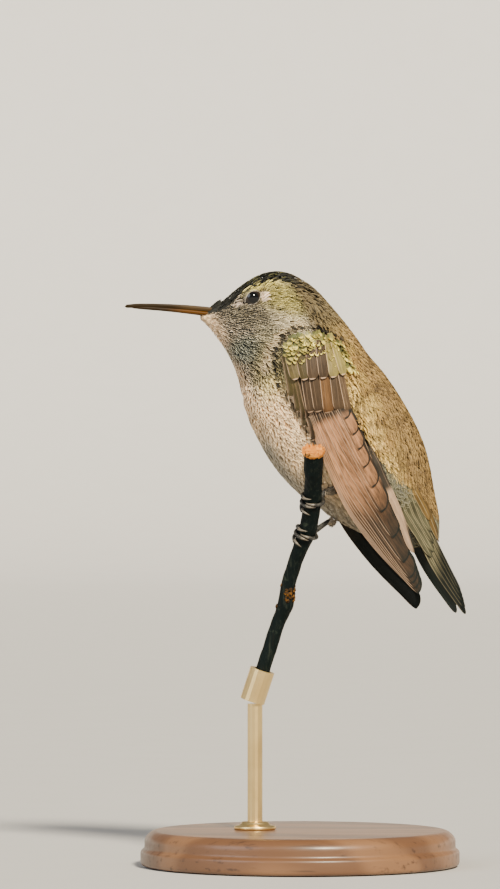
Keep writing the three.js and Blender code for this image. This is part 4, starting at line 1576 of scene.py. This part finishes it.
def add_coverts(blades, own):
    """Long narrow coverts at the leading edge, then greater coverts and median ones over their roots."""
    chance = np.random.default_rng(12)
    brown, gold = np.array(own.covert_brown), np.array(own.covert_green)
    rufous = np.array([0.16, 0.082, 0.034])

    def add(start, end, outer, inner, height, tint, **more):
        random = chance.random()
        start, end = np.array(start) + [0, outer], np.array(end) + [0, outer]
        path = np.array([start, lerp(start, end, 0.5) - [0, 0.12], end]) * [1, MM]
        blades.add(path, (outer * MM, inner * MM), height * MM, tint * (0.85 + 0.3 * random), tint * 0.5,
                   rows=20, random=random, **more)

    for k, aside in enumerate((-1.6, -1.5, -1.2, -0.6)):
        add((0.06 + 0.02 * k, 0.35 * k), (0.20 + 0.055 * k, aside), 0.25, 0.5, 0.34 - 0.05 * k,
            lerp(brown * 0.6, gold, 0.10 - 0.03 * k), tip=3.0)
    # Greater coverts: root, tip, widths on the outer and inner side, colour
    greater = [
        ((0.09, 2.45), (0.270, 0.0), 0.7, 1.5, brown),
        ((0.09, 4.0), (0.278, 1.4), 0.75, 1.7, brown),
        ((0.09, 6.3), (0.293, 3.0), 0.8, 1.8, rufous),
        ((0.09, 8.5), (0.303, 5.0), 1.3, 1.6, brown * 1.3),
        ((0.12, 9.4), (0.324, 7.2), 0.7, 0.7, brown * 1.8),
    ]
    for k, (start, end, outer, inner, tint) in enumerate(greater):
        add(start, end, outer, inner, 0.5 + 0.07 * k, tint, tip=1.15)
    # Median coverts: distance from the first edge at the root, tip, width on the inner side, colour
    mixed = lerp(gold, brown, 0.88)
    median = [
        (0.6, (0.148, -0.5), 1.2, mixed * 0.8),
        (2.6, (0.160, 1.1), 1.3, mixed * 0.5),
        (5.0, (0.167, 2.4), 1.5, brown),
        (7.1, (0.178, 4.5), 1.5, brown * 0.9),
        (9.2, (0.188, 6.5), 1.5, lerp(gold, brown, 0.72)),
        (10.4, (0.194, 8.8), 1.0, lerp(gold, brown, 0.55) * 0.9),
    ]
    for k, (aside, end, inner, tint) in enumerate(median):
        add((0.05, aside), end, 0.8, inner, 0.85 + 0.06 * k, tint, tip=1.2)


def covert_markings(roots, random):
    """Yellow-green scales with dark roots, partly painted shade between them, browner towards the back."""
    own = flight_settings()
    spots = roots / MM
    clump = ease(speckle(spots, 3.0, 71), 0.35, 0.7)
    tint = np.array(own.covert_green) * (0.45 + 1.0 * random)[:, None]
    tint = paint(tint, own.covert_brown, (1 - clump) * 0.3)
    shade = np.array(own.covert_root_shade) * (0.6 + 0.8 * random)[:, None]
    return tint, paint(shade, own.covert_green, clump * 0.15)


# Edges of the shoulder's scales: millimetres from the wing's first edge, and share of its length
SCALES_LOW = np.array([[0, 0.098], [1.2, 0.106], [3.8, 0.106], [5.9, 0.101], [7.4, 0.104], [8.0, 0.128],
                       [9.2, 0.160], [10.5, 0.20], [12, 0.21]])
SCALES_TOP = np.array([[0.7, 0.043], [2.2, 0.021], [4.3, 0.011], [6.5, 0.015], [9.7, 0.045], [11.8, 0.081],
                       [13.8, 0.117]])
# The wing's hind edge under the scapulars: share of its length, and millimetres from its first edge
SCAPULAR_EDGE = np.array([[-0.1, 9.0], [0.0, 9.6], [0.05, 11.0], [0.11, 12.2], [0.17, 10.8], [0.2, 9.6],
                          [0.29, 8.7], [0.37, 9.2], [0.43, 9.7], [0.49, 10.3], [0.54, 11.4]])


def make_scales(side, panel):
    """Rows of small round scales over the shoulder."""
    row, column = np.meshgrid(np.arange(12), np.arange(-1, 18), indexing="ij")
    row, column = row.ravel(), column.ravel()
    chance = np.random.default_rng(31)
    aside = -0.6 + 0.88 * column + 0.44 * (row % 2) + 0.36 * (chance.random(row.size) - 0.5)
    low, top = np.interp(aside, *SCALES_LOW.T), np.interp(aside, *SCALES_TOP.T)
    share = low - 0.030 - 0.0125 * row + 0.007 * (chance.random(row.size) - 0.5)
    inside = (share > top - 0.006) & (aside > 0.9) & (aside < 12.6)
    shares, asides = (-0.2, 0.4), (-4.0 * MM, 18.0 * MM)
    surface = panel.sheet(shares, asides)
    across = (aside * MM - asides[0]) / (asides[1] - asides[0])
    across = across if panel.hand > 0 else 1 - across
    places = np.stack([(share - shares[0]) / (shares[1] - shares[0]), across], axis=1)[inside]
    plumes = Plumes(places, seed=32).size(1.9 * MM, 0.66 * MM, -0.70 * MM, 0, 0.3, cup=0.15)
    plumes.lift = (1.08 - 0.03 * row[inside]) * MM + plumes.spread(0.06 * MM)
    plumes.sway = plumes.sway - 0.18 * panel.hand
    vane = Vane(8, 11, notch=0.02, tip=0.8, round_off=0.4)
    name = f"shoulder_scales_{side}"
    grow(name, surface, plumes, vane, covert_markings, scale_finish(name))


def make_scapulars(side, panel):
    """Back feathers that lie over the wing's hind edge."""
    surface = panel.sheet((-0.25, 0.75), (6 * MM, 20 * MM))
    places = scatter(surface, 0.38 * MM, 0.02, 0.95, seed=33)
    share, aside = panel.share_of(surface.look_up(surface.points, *places.T))
    aside = aside / MM - np.interp(share, *SCAPULAR_EDGE.T)
    inside = (aside > 0) & (aside < 4.6) & (share < 0.53) & (share > -0.06)
    plumes = Plumes(places[inside], seed=34)
    plumes.size(2.3 * MM, 0.46 * MM, 0, 0.28 * MM, 0.3, cup=0.15)
    beyond = np.maximum(aside[inside] - 1.6, 0)
    plumes.sink = (beyond * 0.5 - 0.1) * MM
    plumes.lift = plumes.lift - beyond * 0.22 * MM
    finish = back_finish(f"scapular_feathers_{side}")
    grow(f"scapulars_{side}", surface, plumes, Vane(5, 7), body_markings, finish)


def make_wing(side, panel):
    own = flight_settings()
    blades = Blades(panel.levelled(), own.thickness, own.primaries + own.secondaries + 1)
    add_flight_feathers(blades, own)
    replaced = (f"wing_{side}_primaries", f"wing_{side}_secondaries")
    finish = flight_finish(f"flight_vanes_{side}", rim_width=0.80, rim_reach=9.0, dusk=(24.0, 37.0),
                           shaft=0.12, shaded_root=(11.8, 13.6))
    finish_piece(blades.build(f"flight_feathers_{side}"), finish, replaced)
    blades = Blades(panel, own.thickness, 16)
    add_coverts(blades, own)
    finish = flight_finish(f"covert_vanes_{side}", rim_width=0.1, rim_reach=0.6, pale_tip=0.4, shaft=0.08,
                           edge=0.2)
    coverts = blades.build(f"wing_coverts_{side}")
    finish_piece(coverts, finish, (f"wing_{side}_coverts",))
    make_scales(side, panel)
    make_scapulars(side, panel)


def make_tail(side, panel):
    """The tail feathers of one side, the outermost longest."""
    own, count = flight_settings(), 5
    blades = Blades(panel, own.thickness, count)
    tint = np.array(own.tail)
    for index in range(count):
        order = index / (count - 1)
        asides = np.array([1.6 + 0.7 * index, 1.7 + 0.85 * index, 1.3 + 0.8 * index, 2.1 + 0.42 * index]) * MM
        path = np.column_stack([np.array([-0.35, 0.2, 0.6, lerp(1.03, 0.84, order)]), asides])
        blades.add(path, (0.6 * MM, 1.0 * MM), (0.05 + 0.07 * index) * MM, tint, tint * 0.3, rows=36,
                   random=order, tip=3.4, sink=1.2 * MM)
    finish = flight_finish(f"tail_vanes_{side}", rim_width=0.16, rim_reach=6.0, gloss=0.36, dark_end=13.0,
                           pale=own.tail_edge, shaft=0.25, edge=0.14)
    finish_piece(blades.build(f"tail_feathers_{side}"), finish, (f"tail_{side}",))


def make_tail_coverts(side, panel):
    """Grey coverts at the flank, and bronze ones above."""
    own, plumage = flight_settings(), plumage_settings()
    blades = Blades(panel, own.thickness, 7)
    grey, bronze = np.array(own.tail), np.array(plumage.back) * 0.7
    rows = [((-0.75, 1.0), (0.46, 1.5), grey, 0.22), ((-0.7, 1.9), (0.43, 2.5), grey * 1.2, 0.27),
            ((-0.6, 2.8), (0.37, 3.5), grey * 0.9, 0.32), ((-0.4, 3.6), (0.28, 4.5), grey * 1.2, 0.37),
            ((-0.35, 4.6), (0.40, 5.7), bronze * 0.4, 0.45), ((-0.3, 3.6), (0.19, 5.0), bronze * 0.6, 0.52)]
    for start, end, tint, height in rows:
        middle_point = lerp(np.array(start), end, 0.55)
        blades.add(np.array([start, middle_point, end]) * [1, MM], (0.75 * MM, 0.85 * MM), height * MM, tint,
                   tint * 0.4, rows=24, random=height, tip=3.5, sink=1.6 * MM)
    finish = flight_finish(f"tail_covert_vanes_{side}", rim_width=0.14, rim_reach=9.0, pale=own.tail_edge,
                           edge=0.12)
    finish_piece(blades.build(f"tail_coverts_{side}"), finish)


# ---- Head details ----


def ball(radius, steps, flatness=1.0):
    """The profile of a ball, or of one that is flatter along its axis."""
    turns = np.linspace(0, math.pi, steps)
    return vectors(np.sin(turns) * radius, -np.cos(turns) * radius * flatness)


def make_eye(side):
    """An eye, looking a little ahead, with its lids."""
    low, high = box_of(f"eye_{side}")
    radius = (high[2] - low[2]) / 2
    centre = to_bird(middle(f"eye_{side}"))
    out = unit(RIGHT * SIDES[side] + [-0.12, 0, 0.05])
    points, faces = lathe(ball(radius, 40), centre, 64, out)
    offset = (points - centre) / radius
    aside = unit(np.cross(UP, out))
    look = vectors(offset @ aside, offset @ np.cross(out, aside), offset @ out)
    look[:, :2] = np.where(look[:, 2:] > 0, look[:, :2], 2.0)
    eye = make_object(f"eyeball_{side}", points, faces, {"look": look})
    finish_piece(eye, eye_finish(), (f"eye_{side}",))
    make_lids(side, centre, out, radius)


def make_lids(side, centre, out, radius):
    """A bare rim round an almond opening, and feathered skin from it over the rest of the ball."""
    hand = -SIDES[side]
    aft = unit(np.cross(np.cross(out, [1.0, 0, 0]), out))
    up = np.cross(out, aft) * hand
    turns = full_turn(72) * hand
    across = np.cos(turns) * 1.84 * MM
    rise = np.sin(turns) * 1.24 * MM * (1 - 0.32 * np.cos(turns) ** 2)
    flat_aft = across * math.cos(EYE_TILT) - rise * math.sin(EYE_TILT)
    flat_up = across * math.sin(EYE_TILT) + rise * math.cos(EYE_TILT)
    opening = np.hypot(flat_aft, flat_up)
    sideways = (flat_aft[:, None] * aft + flat_up[:, None] * up) / opening[:, None]

    def ring(wider, share, lift):
        """A ring this much wider than the opening, or on from there by a share of the way back."""
        start = np.arcsin(np.minimum(opening * wider / radius, 0.95))
        angle = lerp(start, math.radians(104), share)[:, None]
        beads = 1 + 0.2 * np.sin(turns * 18)
        reach = radius + (lift * MM * beads)[:, None]
        return centre + (np.cos(angle) * out + np.sin(angle) * sideways) * reach

    steps = [(0.93, -0.3), (0.95, 0.05), (1.0, 0.09), (1.05, 0.04), (1.07, -0.1)]
    rim = np.array([ring(wider, 0, lift) for wider, lift in steps])
    finish_piece(make_object(f"eyelids_{side}", rim, round_faces(rim)), lid_finish())
    hood = np.array([ring(1.05, share, 0.02) for share in np.linspace(0, 1, 9)])
    skin_piece(f"eye_skin_{side}", hood, round_faces(hood))
    form = Surface(hood, closed=True)
    places = scatter(form, 0.27 * MM, 0.0, 0.8, seed=17)
    plumes = Plumes(places, seed=18).size(0.8 * MM, 0.22 * MM, 0.03 * MM, 0.05 * MM, 0.5, cup=0.1)
    finish = feather_finish(f"eye_feathers_{side}", fringe=0.1, base=0.1)
    grow(f"eye_coat_{side}", form, plumes, FACE_VANE, body_markings, finish)


def make_bill_half(name, node, material, upper):
    """Half the bill, lofted from its node: a keeled ridge or a rounded underside, flat where they meet."""
    corners, _ = corners_of([node])
    tip = corners[np.argmin(corners[:, 0])]
    turns, way = full_turn(32), 1 if upper else -1
    rings = []
    for level, points in slices(node, 46, np.array([1.0, 0, 0])):
        low, high = points.min(axis=0), points.max(axis=0)
        centre, half = (low + high) / 2, (high - low) / 2
        half = half * lerp(1.5, 1.0, ease(level - tip[0], 0.5 * MM, 7 * MM))
        side = np.cos(turns) * half[1]
        rise = np.sin(turns)
        keel = np.where((rise > 0) == upper, np.abs(rise) ** 0.85, np.abs(rise) ** 0.55) * np.sign(rise)
        rings.append(vectors(level, centre[1] + side, centre[2] + keel * half[2]))
    rings = np.array(rings)
    height = np.sin(turns) * way
    rings[..., 2] -= np.where(height < -0.3, 0.17 * MM * way, 0)
    for axis in (1, 2):
        rings[..., axis] = blur(rings[..., axis], 3, (False, True))
    points = capped(rings, tip, rings[-1].mean(axis=0))
    along = (points[..., 0] - tip[0]) / (points[-1, 0, 0] - tip[0])
    horn = vectors(1 - along, np.cos(turns), height)
    piece = make_object(name, points, round_faces(points)[:, ::-1], {"horn": horn})
    finish_piece(piece, material, (node,))


# ---- Feet and perch ----


def toe_points(stem, start, turn, sweep, rise, radius, count=26):
    """A toe's middle line, wound round the stem from its palm."""
    share = np.linspace(0, 1, count)
    height = start + rise * share
    centre, heading, stem_radius = stem.at(height)
    hold = stem_radius + radius * lerp(1.25, 0.85, share)
    ring = circle(turn + sweep * share, *stem.facing(centre, heading))
    return centre + ring * hold[:, None]


def make_foot(side, stem):
    """Three toes round the front of the stem, one round its back, each with a claw, and the ankle."""
    heights = corners_of([f"foot_{side}"])[0][:, 2]
    thigh, _ = corners_of([f"thigh_{side}"])
    ankle = thigh[np.argmin(thigh[:, 0])]
    grip = lerp(heights.min(), heights.max(), 0.42)
    centre, heading, stem_radius = stem.at(np.array(grip))
    inwards = unit((BODY_MIDDLE - centre) * [1, 1, 0])
    sideways = np.cross(heading, inwards)
    reach = ankle - centre
    turn = math.atan2(reach @ sideways, reach @ inwards)
    toes, claws, radius, claw_sweep = [], [], 0.40 * MM, 0.95
    # How far each toe climbs in millimetres, which way round it goes, and through what angle
    for lift, way, sweep in ((-1.7, 1, 2.9), (-0.3, 1, 3.4), (1.2, 1, 2.8), (0.3, -1, 2.2)):
        line = toe_points(stem, grip, turn, sweep * way, lift * MM, radius)
        share = np.linspace(0, 1, len(line))
        rings = 1 + 0.16 * np.abs(np.sin(share * math.pi * 3.5)) + 0.03 * np.sin(share * math.pi * 24)
        thick = radius * lerp(1.05, 0.72, share) * rings
        thick[0] *= 0.6
        toes.append(tube(line, thick, around=14))
        whole = sweep + claw_sweep
        last = toe_points(stem, grip, turn, whole * way, lift * MM * 1.15, 0.22 * MM, count=40)
        claw = last[int(len(last) * sweep / whole) - 2:]
        part = np.linspace(0, 1, len(claw))
        claw = claw + (claw - stem.at(claw[:, 2])[0]) * (0.10 * np.sin(part * math.pi))[:, None]
        claws.append(tube(claw, lerp(0.34, 0.03, part**1.3) * MM, around=10))
    palm = toes[0][0].reshape(-1, 14, 3)[2].mean(axis=0)
    palm = centre + unit(palm - centre) * (stem_radius + 0.5 * MM)
    shank = smooth_path([ankle + (ankle - palm) * 0.15, lerp(ankle, palm, 0.5), palm], 14)
    scales = 1 + 0.06 * np.abs(np.sin(np.linspace(0, 1, 14) * math.pi * 5))
    toes.append(tube(shank, np.linspace(0.45, 0.62, 14) * MM * scales, around=14))
    foot = make_object(f"toes_{side}", *joined(toes))
    finish_piece(foot, toe_finish(), (f"foot_{side}",))
    finish_piece(make_object(f"claws_{side}", *joined(claws)), claw_finish())


def make_stem(stem):
    """The cut stem, in bark with lengthwise ridges and a few knots."""
    levels = np.linspace(stem.line[0, 2], stem.line[-1, 2] - 0.2 * MM, 220)
    centre, heading, radius = stem.at(levels)
    ring = stem.rings(heading, 64)
    flat = (centre[:, None] + ring * radius[:, None, None]) / MM
    ridge, knots = speckle(flat * [1, 1, 0.12], 1.1, 31), speckle(flat, 3.2, 33)
    bark = radius[:, None] * (0.93 + 0.07 * ridge + 0.05 * knots)
    points = capped(centre[:, None] + ring * bark[..., None], centre[0], centre[-1])
    grain = capped(flat, centre[0] / MM, centre[-1] / MM)
    piece = make_object("stem", points, round_faces(points), {"grain": grain})
    finish_piece(piece, bark_finish(), ("perch_stem",))


def make_broken_end(stem):
    """A ring of torn fibres standing up round a hollowed middle."""
    corners, _ = corners_of(["perch_broken_end"])
    reach, _, height = (corners.max(axis=0) - corners.min(axis=0)) * [0.5, 1, 1]
    centre, heading, _ = stem.at(np.array(stem.line[-1, 2]))
    share = np.linspace(0, 1, 28)
    outside = share < 0.5
    widths = np.where(outside, lerp(0.84, 0.98, ease(share, 0, 0.3)), lerp(0.98, 0.0, (share - 0.5) * 2))
    heights = np.where(outside, share * 2 * 0.31, 0.31 - 0.09 * ease(share, 0.52, 0.8))
    ring = stem.rings(heading, 72)
    base = centre - heading * 0.7 * MM
    points = base + (widths * reach)[:, None, None] * ring + (heights * height)[:, None, None] * heading
    rough, torn = speckle(points / MM, 0.9, 51), speckle(points * [1, 1, 0.1] / MM, 0.55, 52)
    spike = np.exp(-(((share - 0.54) / 0.13) ** 2))[:, None]
    points = points + ((torn - 0.5) * 0.40 * spike * height)[..., None] * heading
    points = points + (rough - 0.5)[..., None] * 0.13 * MM * ring
    piece = make_object("broken_end", points, round_faces(points))
    finish_piece(piece, splinter_finish(), ("perch_broken_end",))


def make_lichen(stem):
    """Small orange lobes clustered on the stem's swelling."""
    chance = np.random.default_rng(9)
    height = lerp(stem.line[0, 2], stem.line[-1, 2], 0.42)
    parts = []
    for _ in range(34):
        centre, _, radius = stem.at(np.array(height + chance.normal() * MM))
        angle = chance.normal() * 0.9 - 0.9
        out = np.array([math.cos(angle), math.sin(angle), 0.0])
        size = (0.22 + 0.30 * chance.random()) * MM
        axis = out + chance.normal(size=3) * 0.3
        points, faces = lathe(ball(size, 9, flatness=0.6), centre + out * radius, 12, axis)
        points = points + (speckle(points / MM, 0.35, 61)[:, None] - 0.5) * size * 0.5
        parts.append((points, faces))
    finish_piece(make_object("lichen", *joined(parts)), lichen_finish())


# ---- Stand ----


def turned_place(node):
    """The radius, height and underside's centre of an upright turned node."""
    low, high = box_of(node)
    return (high[0] - low[0]) / 2, high[2] - low[2], to_bird((low + high) / 2 * [1, 1, 0] + low * [0, 0, 1])


def make_stand():
    """The walnut base with a stepped edge and a hollow underside, and the brass. The rod is shown as
    the frame has it."""
    radius, height, centre = turned_place("stand_base")
    hollow, foot, step, slope = 0.4 * MM, 2.2 * MM, 0.8 * MM, 2.4 * MM
    edge = [[0, hollow], [radius - foot, hollow], [radius - foot, 0], [radius, 0],
            [radius, height * 0.42], [radius - step, height * 0.50], [radius - step, height * 0.80],
            [radius - slope, height], [0, height]]
    base = make_object("stand_walnut_base", *lathe(rounded_profile(edge, 0.9 * MM), centre, 192))
    finish_piece(base, walnut_finish(), ("stand_base",))
    radius, height, centre = turned_place("stand_collar")
    edge = np.array([[0, 0], [1, 0], [1, 0.45], [0.72, 0.62], [0.62, 1], [0, 1]]) * [radius, height]
    collar = make_object("stand_brass_collar", *lathe(rounded_profile(edge, 0.4 * MM), centre, 96))
    brass = brass_finish()
    finish_piece(collar, brass, ("stand_collar",))
    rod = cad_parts["stand_rod"].data
    rod.materials.clear()
    rod.materials.append(brass)


# ---- Stage ----


def make_floor():
    """A flat floor, just under the stand, that sweeps up far behind the bird."""
    turns = np.linspace(0, math.pi / 2, 24)
    bend, start, drop = 0.8, 2.4, 0.0002
    sweep = vectors(start + bend * np.sin(turns), bend - bend * np.cos(turns))
    profile = np.array([[-30.0, 0.0], [-3.0, 0.0], [-0.2, 0.0], [0.2, 0.0], [1.0, 0.0], *sweep])
    across = np.array([-30.0, -3.0, -0.2, 0.2, 3.0, 30.0])
    points = vectors(across, profile[:, :1], profile[:, 1:] - drop)
    floor = make_object("floor", to_bird(points), grid_faces(*points.shape[:2])[:, ::-1])
    floor.data.materials.append(floor_finish())


def make_world():
    """Pale surroundings, brightest at the horizon, where they meet the floor."""
    own = detail_settings()
    world = bpy.data.worlds.new("studio")
    nodes = Nodes(world)
    sockets = nodes.tree.nodes["Background"].inputs
    nodes.feed(sockets["Color"], (0.96, 0.91, 0.83, 1))
    place = nodes.add("ShaderNodeTexCoord", None, None, out="Generated")
    height = nodes.add("ShaderNodeSeparateXYZ", None, {0: place}, out="Z")
    fade = {0: height, "From Min": 0.08, "From Max": 0.22, "To Min": 1.15, "To Max": own.sky}
    nodes.feed(sockets["Strength"], nodes.add("ShaderNodeMapRange", None, fade))
    bpy.context.scene.world = world


def add_light(name, direction, strength, softness, tint):
    """A far lamp that shines along a direction."""
    light = bpy.data.lights.new(name, "SUN")
    light.energy, light.angle, light.color = strength, math.radians(softness), tint
    thing = bpy.data.objects.new(name, light)
    thing.rotation_euler = Vector(direction).to_track_quat("-Z", "Y").to_euler()
    bpy.context.scene.collection.objects.link(thing)


def make_lights():
    own = detail_settings()
    add_light("key", (-0.28, 0.72, -0.62), own.key_power, 9, (1.0, 0.90, 0.71))
    add_light("fill", (0.85, 0.60, -0.55), own.key_power * 0.2, 40, (0.88, 0.93, 1.0))


def make_camera():
    """Level with the bird, seen from its left and a little ahead, far enough to flatten it."""
    camera = bpy.data.cameras.new("camera")
    camera.sensor_fit, camera.sensor_height, camera.sensor_width = "VERTICAL", 36, 36
    camera.lens = 243
    camera.clip_end = 20
    thing = bpy.data.objects.new("camera", camera)
    thing.location = (-0.010, -1.2, 0.0841)
    thing.rotation_euler = (math.pi / 2, 0, 0)
    bpy.context.scene.collection.objects.link(thing)
    bpy.context.scene.camera = thing


# ---- Operators ----


class ScenePiece:
    """What every operator here shares: it makes its pieces once and says so."""

    bl_options = {"REGISTER", "UNDO"}

    def execute(self, context):
        self.build()
        return {"FINISHED"}


class HUMMINGBIRD_OT_skin(ScenePiece, bpy.types.Operator):
    """Make the skin that stands for head, neck, trunk, rump and thighs"""

    bl_idname = "hummingbird.skin"
    bl_label = "Skin"

    def build(self):
        make_skin(plumage_form())


class HUMMINGBIRD_OT_coat(ScenePiece, bpy.types.Operator):
    """Lay the small feathers over the skin"""

    bl_idname = "hummingbird.coat"
    bl_label = "Coat"

    def build(self):
        make_coat(plumage_form(), Stem())
        make_bill_coat()
        make_thigh_coat()


class HUMMINGBIRD_OT_wings(ScenePiece, bpy.types.Operator):
    """Lay the feathers of both folded wings"""

    bl_idname = "hummingbird.wings"
    bl_label = "Wings"

    def build(self):
        for side in SIDES:
            make_wing(side, wing_panel(side))


class HUMMINGBIRD_OT_tail(ScenePiece, bpy.types.Operator):
    """Lay the ten tail feathers"""

    bl_idname = "hummingbird.tail"
    bl_label = "Tail"

    def build(self):
        for side in SIDES:
            make_tail(side, tail_panel(side))
            make_tail_coverts(side, tail_panel(side, "rump"))


class HUMMINGBIRD_OT_eyes(ScenePiece, bpy.types.Operator):
    """Make the eyes and their lids"""

    bl_idname = "hummingbird.eyes"
    bl_label = "Eyes"

    def build(self):
        for side in SIDES:
            make_eye(side)


class HUMMINGBIRD_OT_bill(ScenePiece, bpy.types.Operator):
    """Make both halves of the bill"""

    bl_idname = "hummingbird.bill"
    bl_label = "Bill"

    def build(self):
        own = detail_settings()
        upper = bill_finish("bill_horn_dark", own.bill_upper, (0.05, 0.03, 0.012), 0.5)
        lower = bill_finish("bill_horn_amber", own.bill_upper, own.bill_lower, 0.62)
        make_bill_half("upper_bill", "bill_upper", upper, True)
        make_bill_half("lower_bill", "bill_lower", lower, False)


class HUMMINGBIRD_OT_feet(ScenePiece, bpy.types.Operator):
    """Wrap the toes and claws round the stem"""

    bl_idname = "hummingbird.feet"
    bl_label = "Feet"

    def build(self):
        stem = Stem()
        for side in SIDES:
            make_foot(side, stem)


class HUMMINGBIRD_OT_perch(ScenePiece, bpy.types.Operator):
    """Make the stem, its broken end and its lichen"""

    bl_idname = "hummingbird.perch"
    bl_label = "Perch"

    def build(self):
        stem = Stem()
        make_stem(stem)
        make_broken_end(stem)
        make_lichen(stem)


class HUMMINGBIRD_OT_stand(ScenePiece, bpy.types.Operator):
    """Make the display stand"""

    bl_idname = "hummingbird.stand"
    bl_label = "Stand"

    def build(self):
        make_stand()


class HUMMINGBIRD_OT_stage(ScenePiece, bpy.types.Operator):
    """Make the floor, the lights and the camera"""

    bl_idname = "hummingbird.stage"
    bl_label = "Stage"

    def build(self):
        make_floor()
        make_world()
        make_lights()
        make_camera()


STEPS = (
    HUMMINGBIRD_OT_stage,
    HUMMINGBIRD_OT_skin,
    HUMMINGBIRD_OT_coat,
    HUMMINGBIRD_OT_wings,
    HUMMINGBIRD_OT_tail,
    HUMMINGBIRD_OT_eyes,
    HUMMINGBIRD_OT_bill,
    HUMMINGBIRD_OT_feet,
    HUMMINGBIRD_OT_perch,
    HUMMINGBIRD_OT_stand,
)


class HUMMINGBIRD_PT_pieces(bpy.types.Panel):
    """Lists the pieces and their settings"""

    bl_idname = "HUMMINGBIRD_PT_pieces"
    bl_label = "Hummingbird"
    bl_space_type = "VIEW_3D"
    bl_region_type = "UI"
    bl_category = "Hummingbird"

    def draw(self, context):
        for step in STEPS:
            self.layout.operator(step.bl_idname)
        for group in (plumage_settings(), flight_settings(), detail_settings()):
            box = self.layout.box()
            for key in group.bl_rna.properties.keys():
                if key not in ("rna_type", "name"):
                    box.prop(group, key)


GROUPS = {
    "hummingbird_plumage": HummingbirdPlumage,
    "hummingbird_flight": HummingbirdFlight,
    "hummingbird_details": HummingbirdDetails,
}


def register():
    for kind in (*GROUPS.values(), *STEPS, HUMMINGBIRD_PT_pieces):
        bpy.utils.register_class(kind)
    for name, kind in GROUPS.items():
        setattr(bpy.types.Scene, name, PointerProperty(type=kind))


def unregister():
    for name in GROUPS:
        delattr(bpy.types.Scene, name)
    for kind in reversed((*GROUPS.values(), *STEPS, HUMMINGBIRD_PT_pieces)):
        bpy.utils.unregister_class(kind)


def main():
    register()
    for step in STEPS:
        group, name = step.bl_idname.split(".")
        getattr(getattr(bpy.ops, group), name)()


if __name__ == "__main__":
    main()
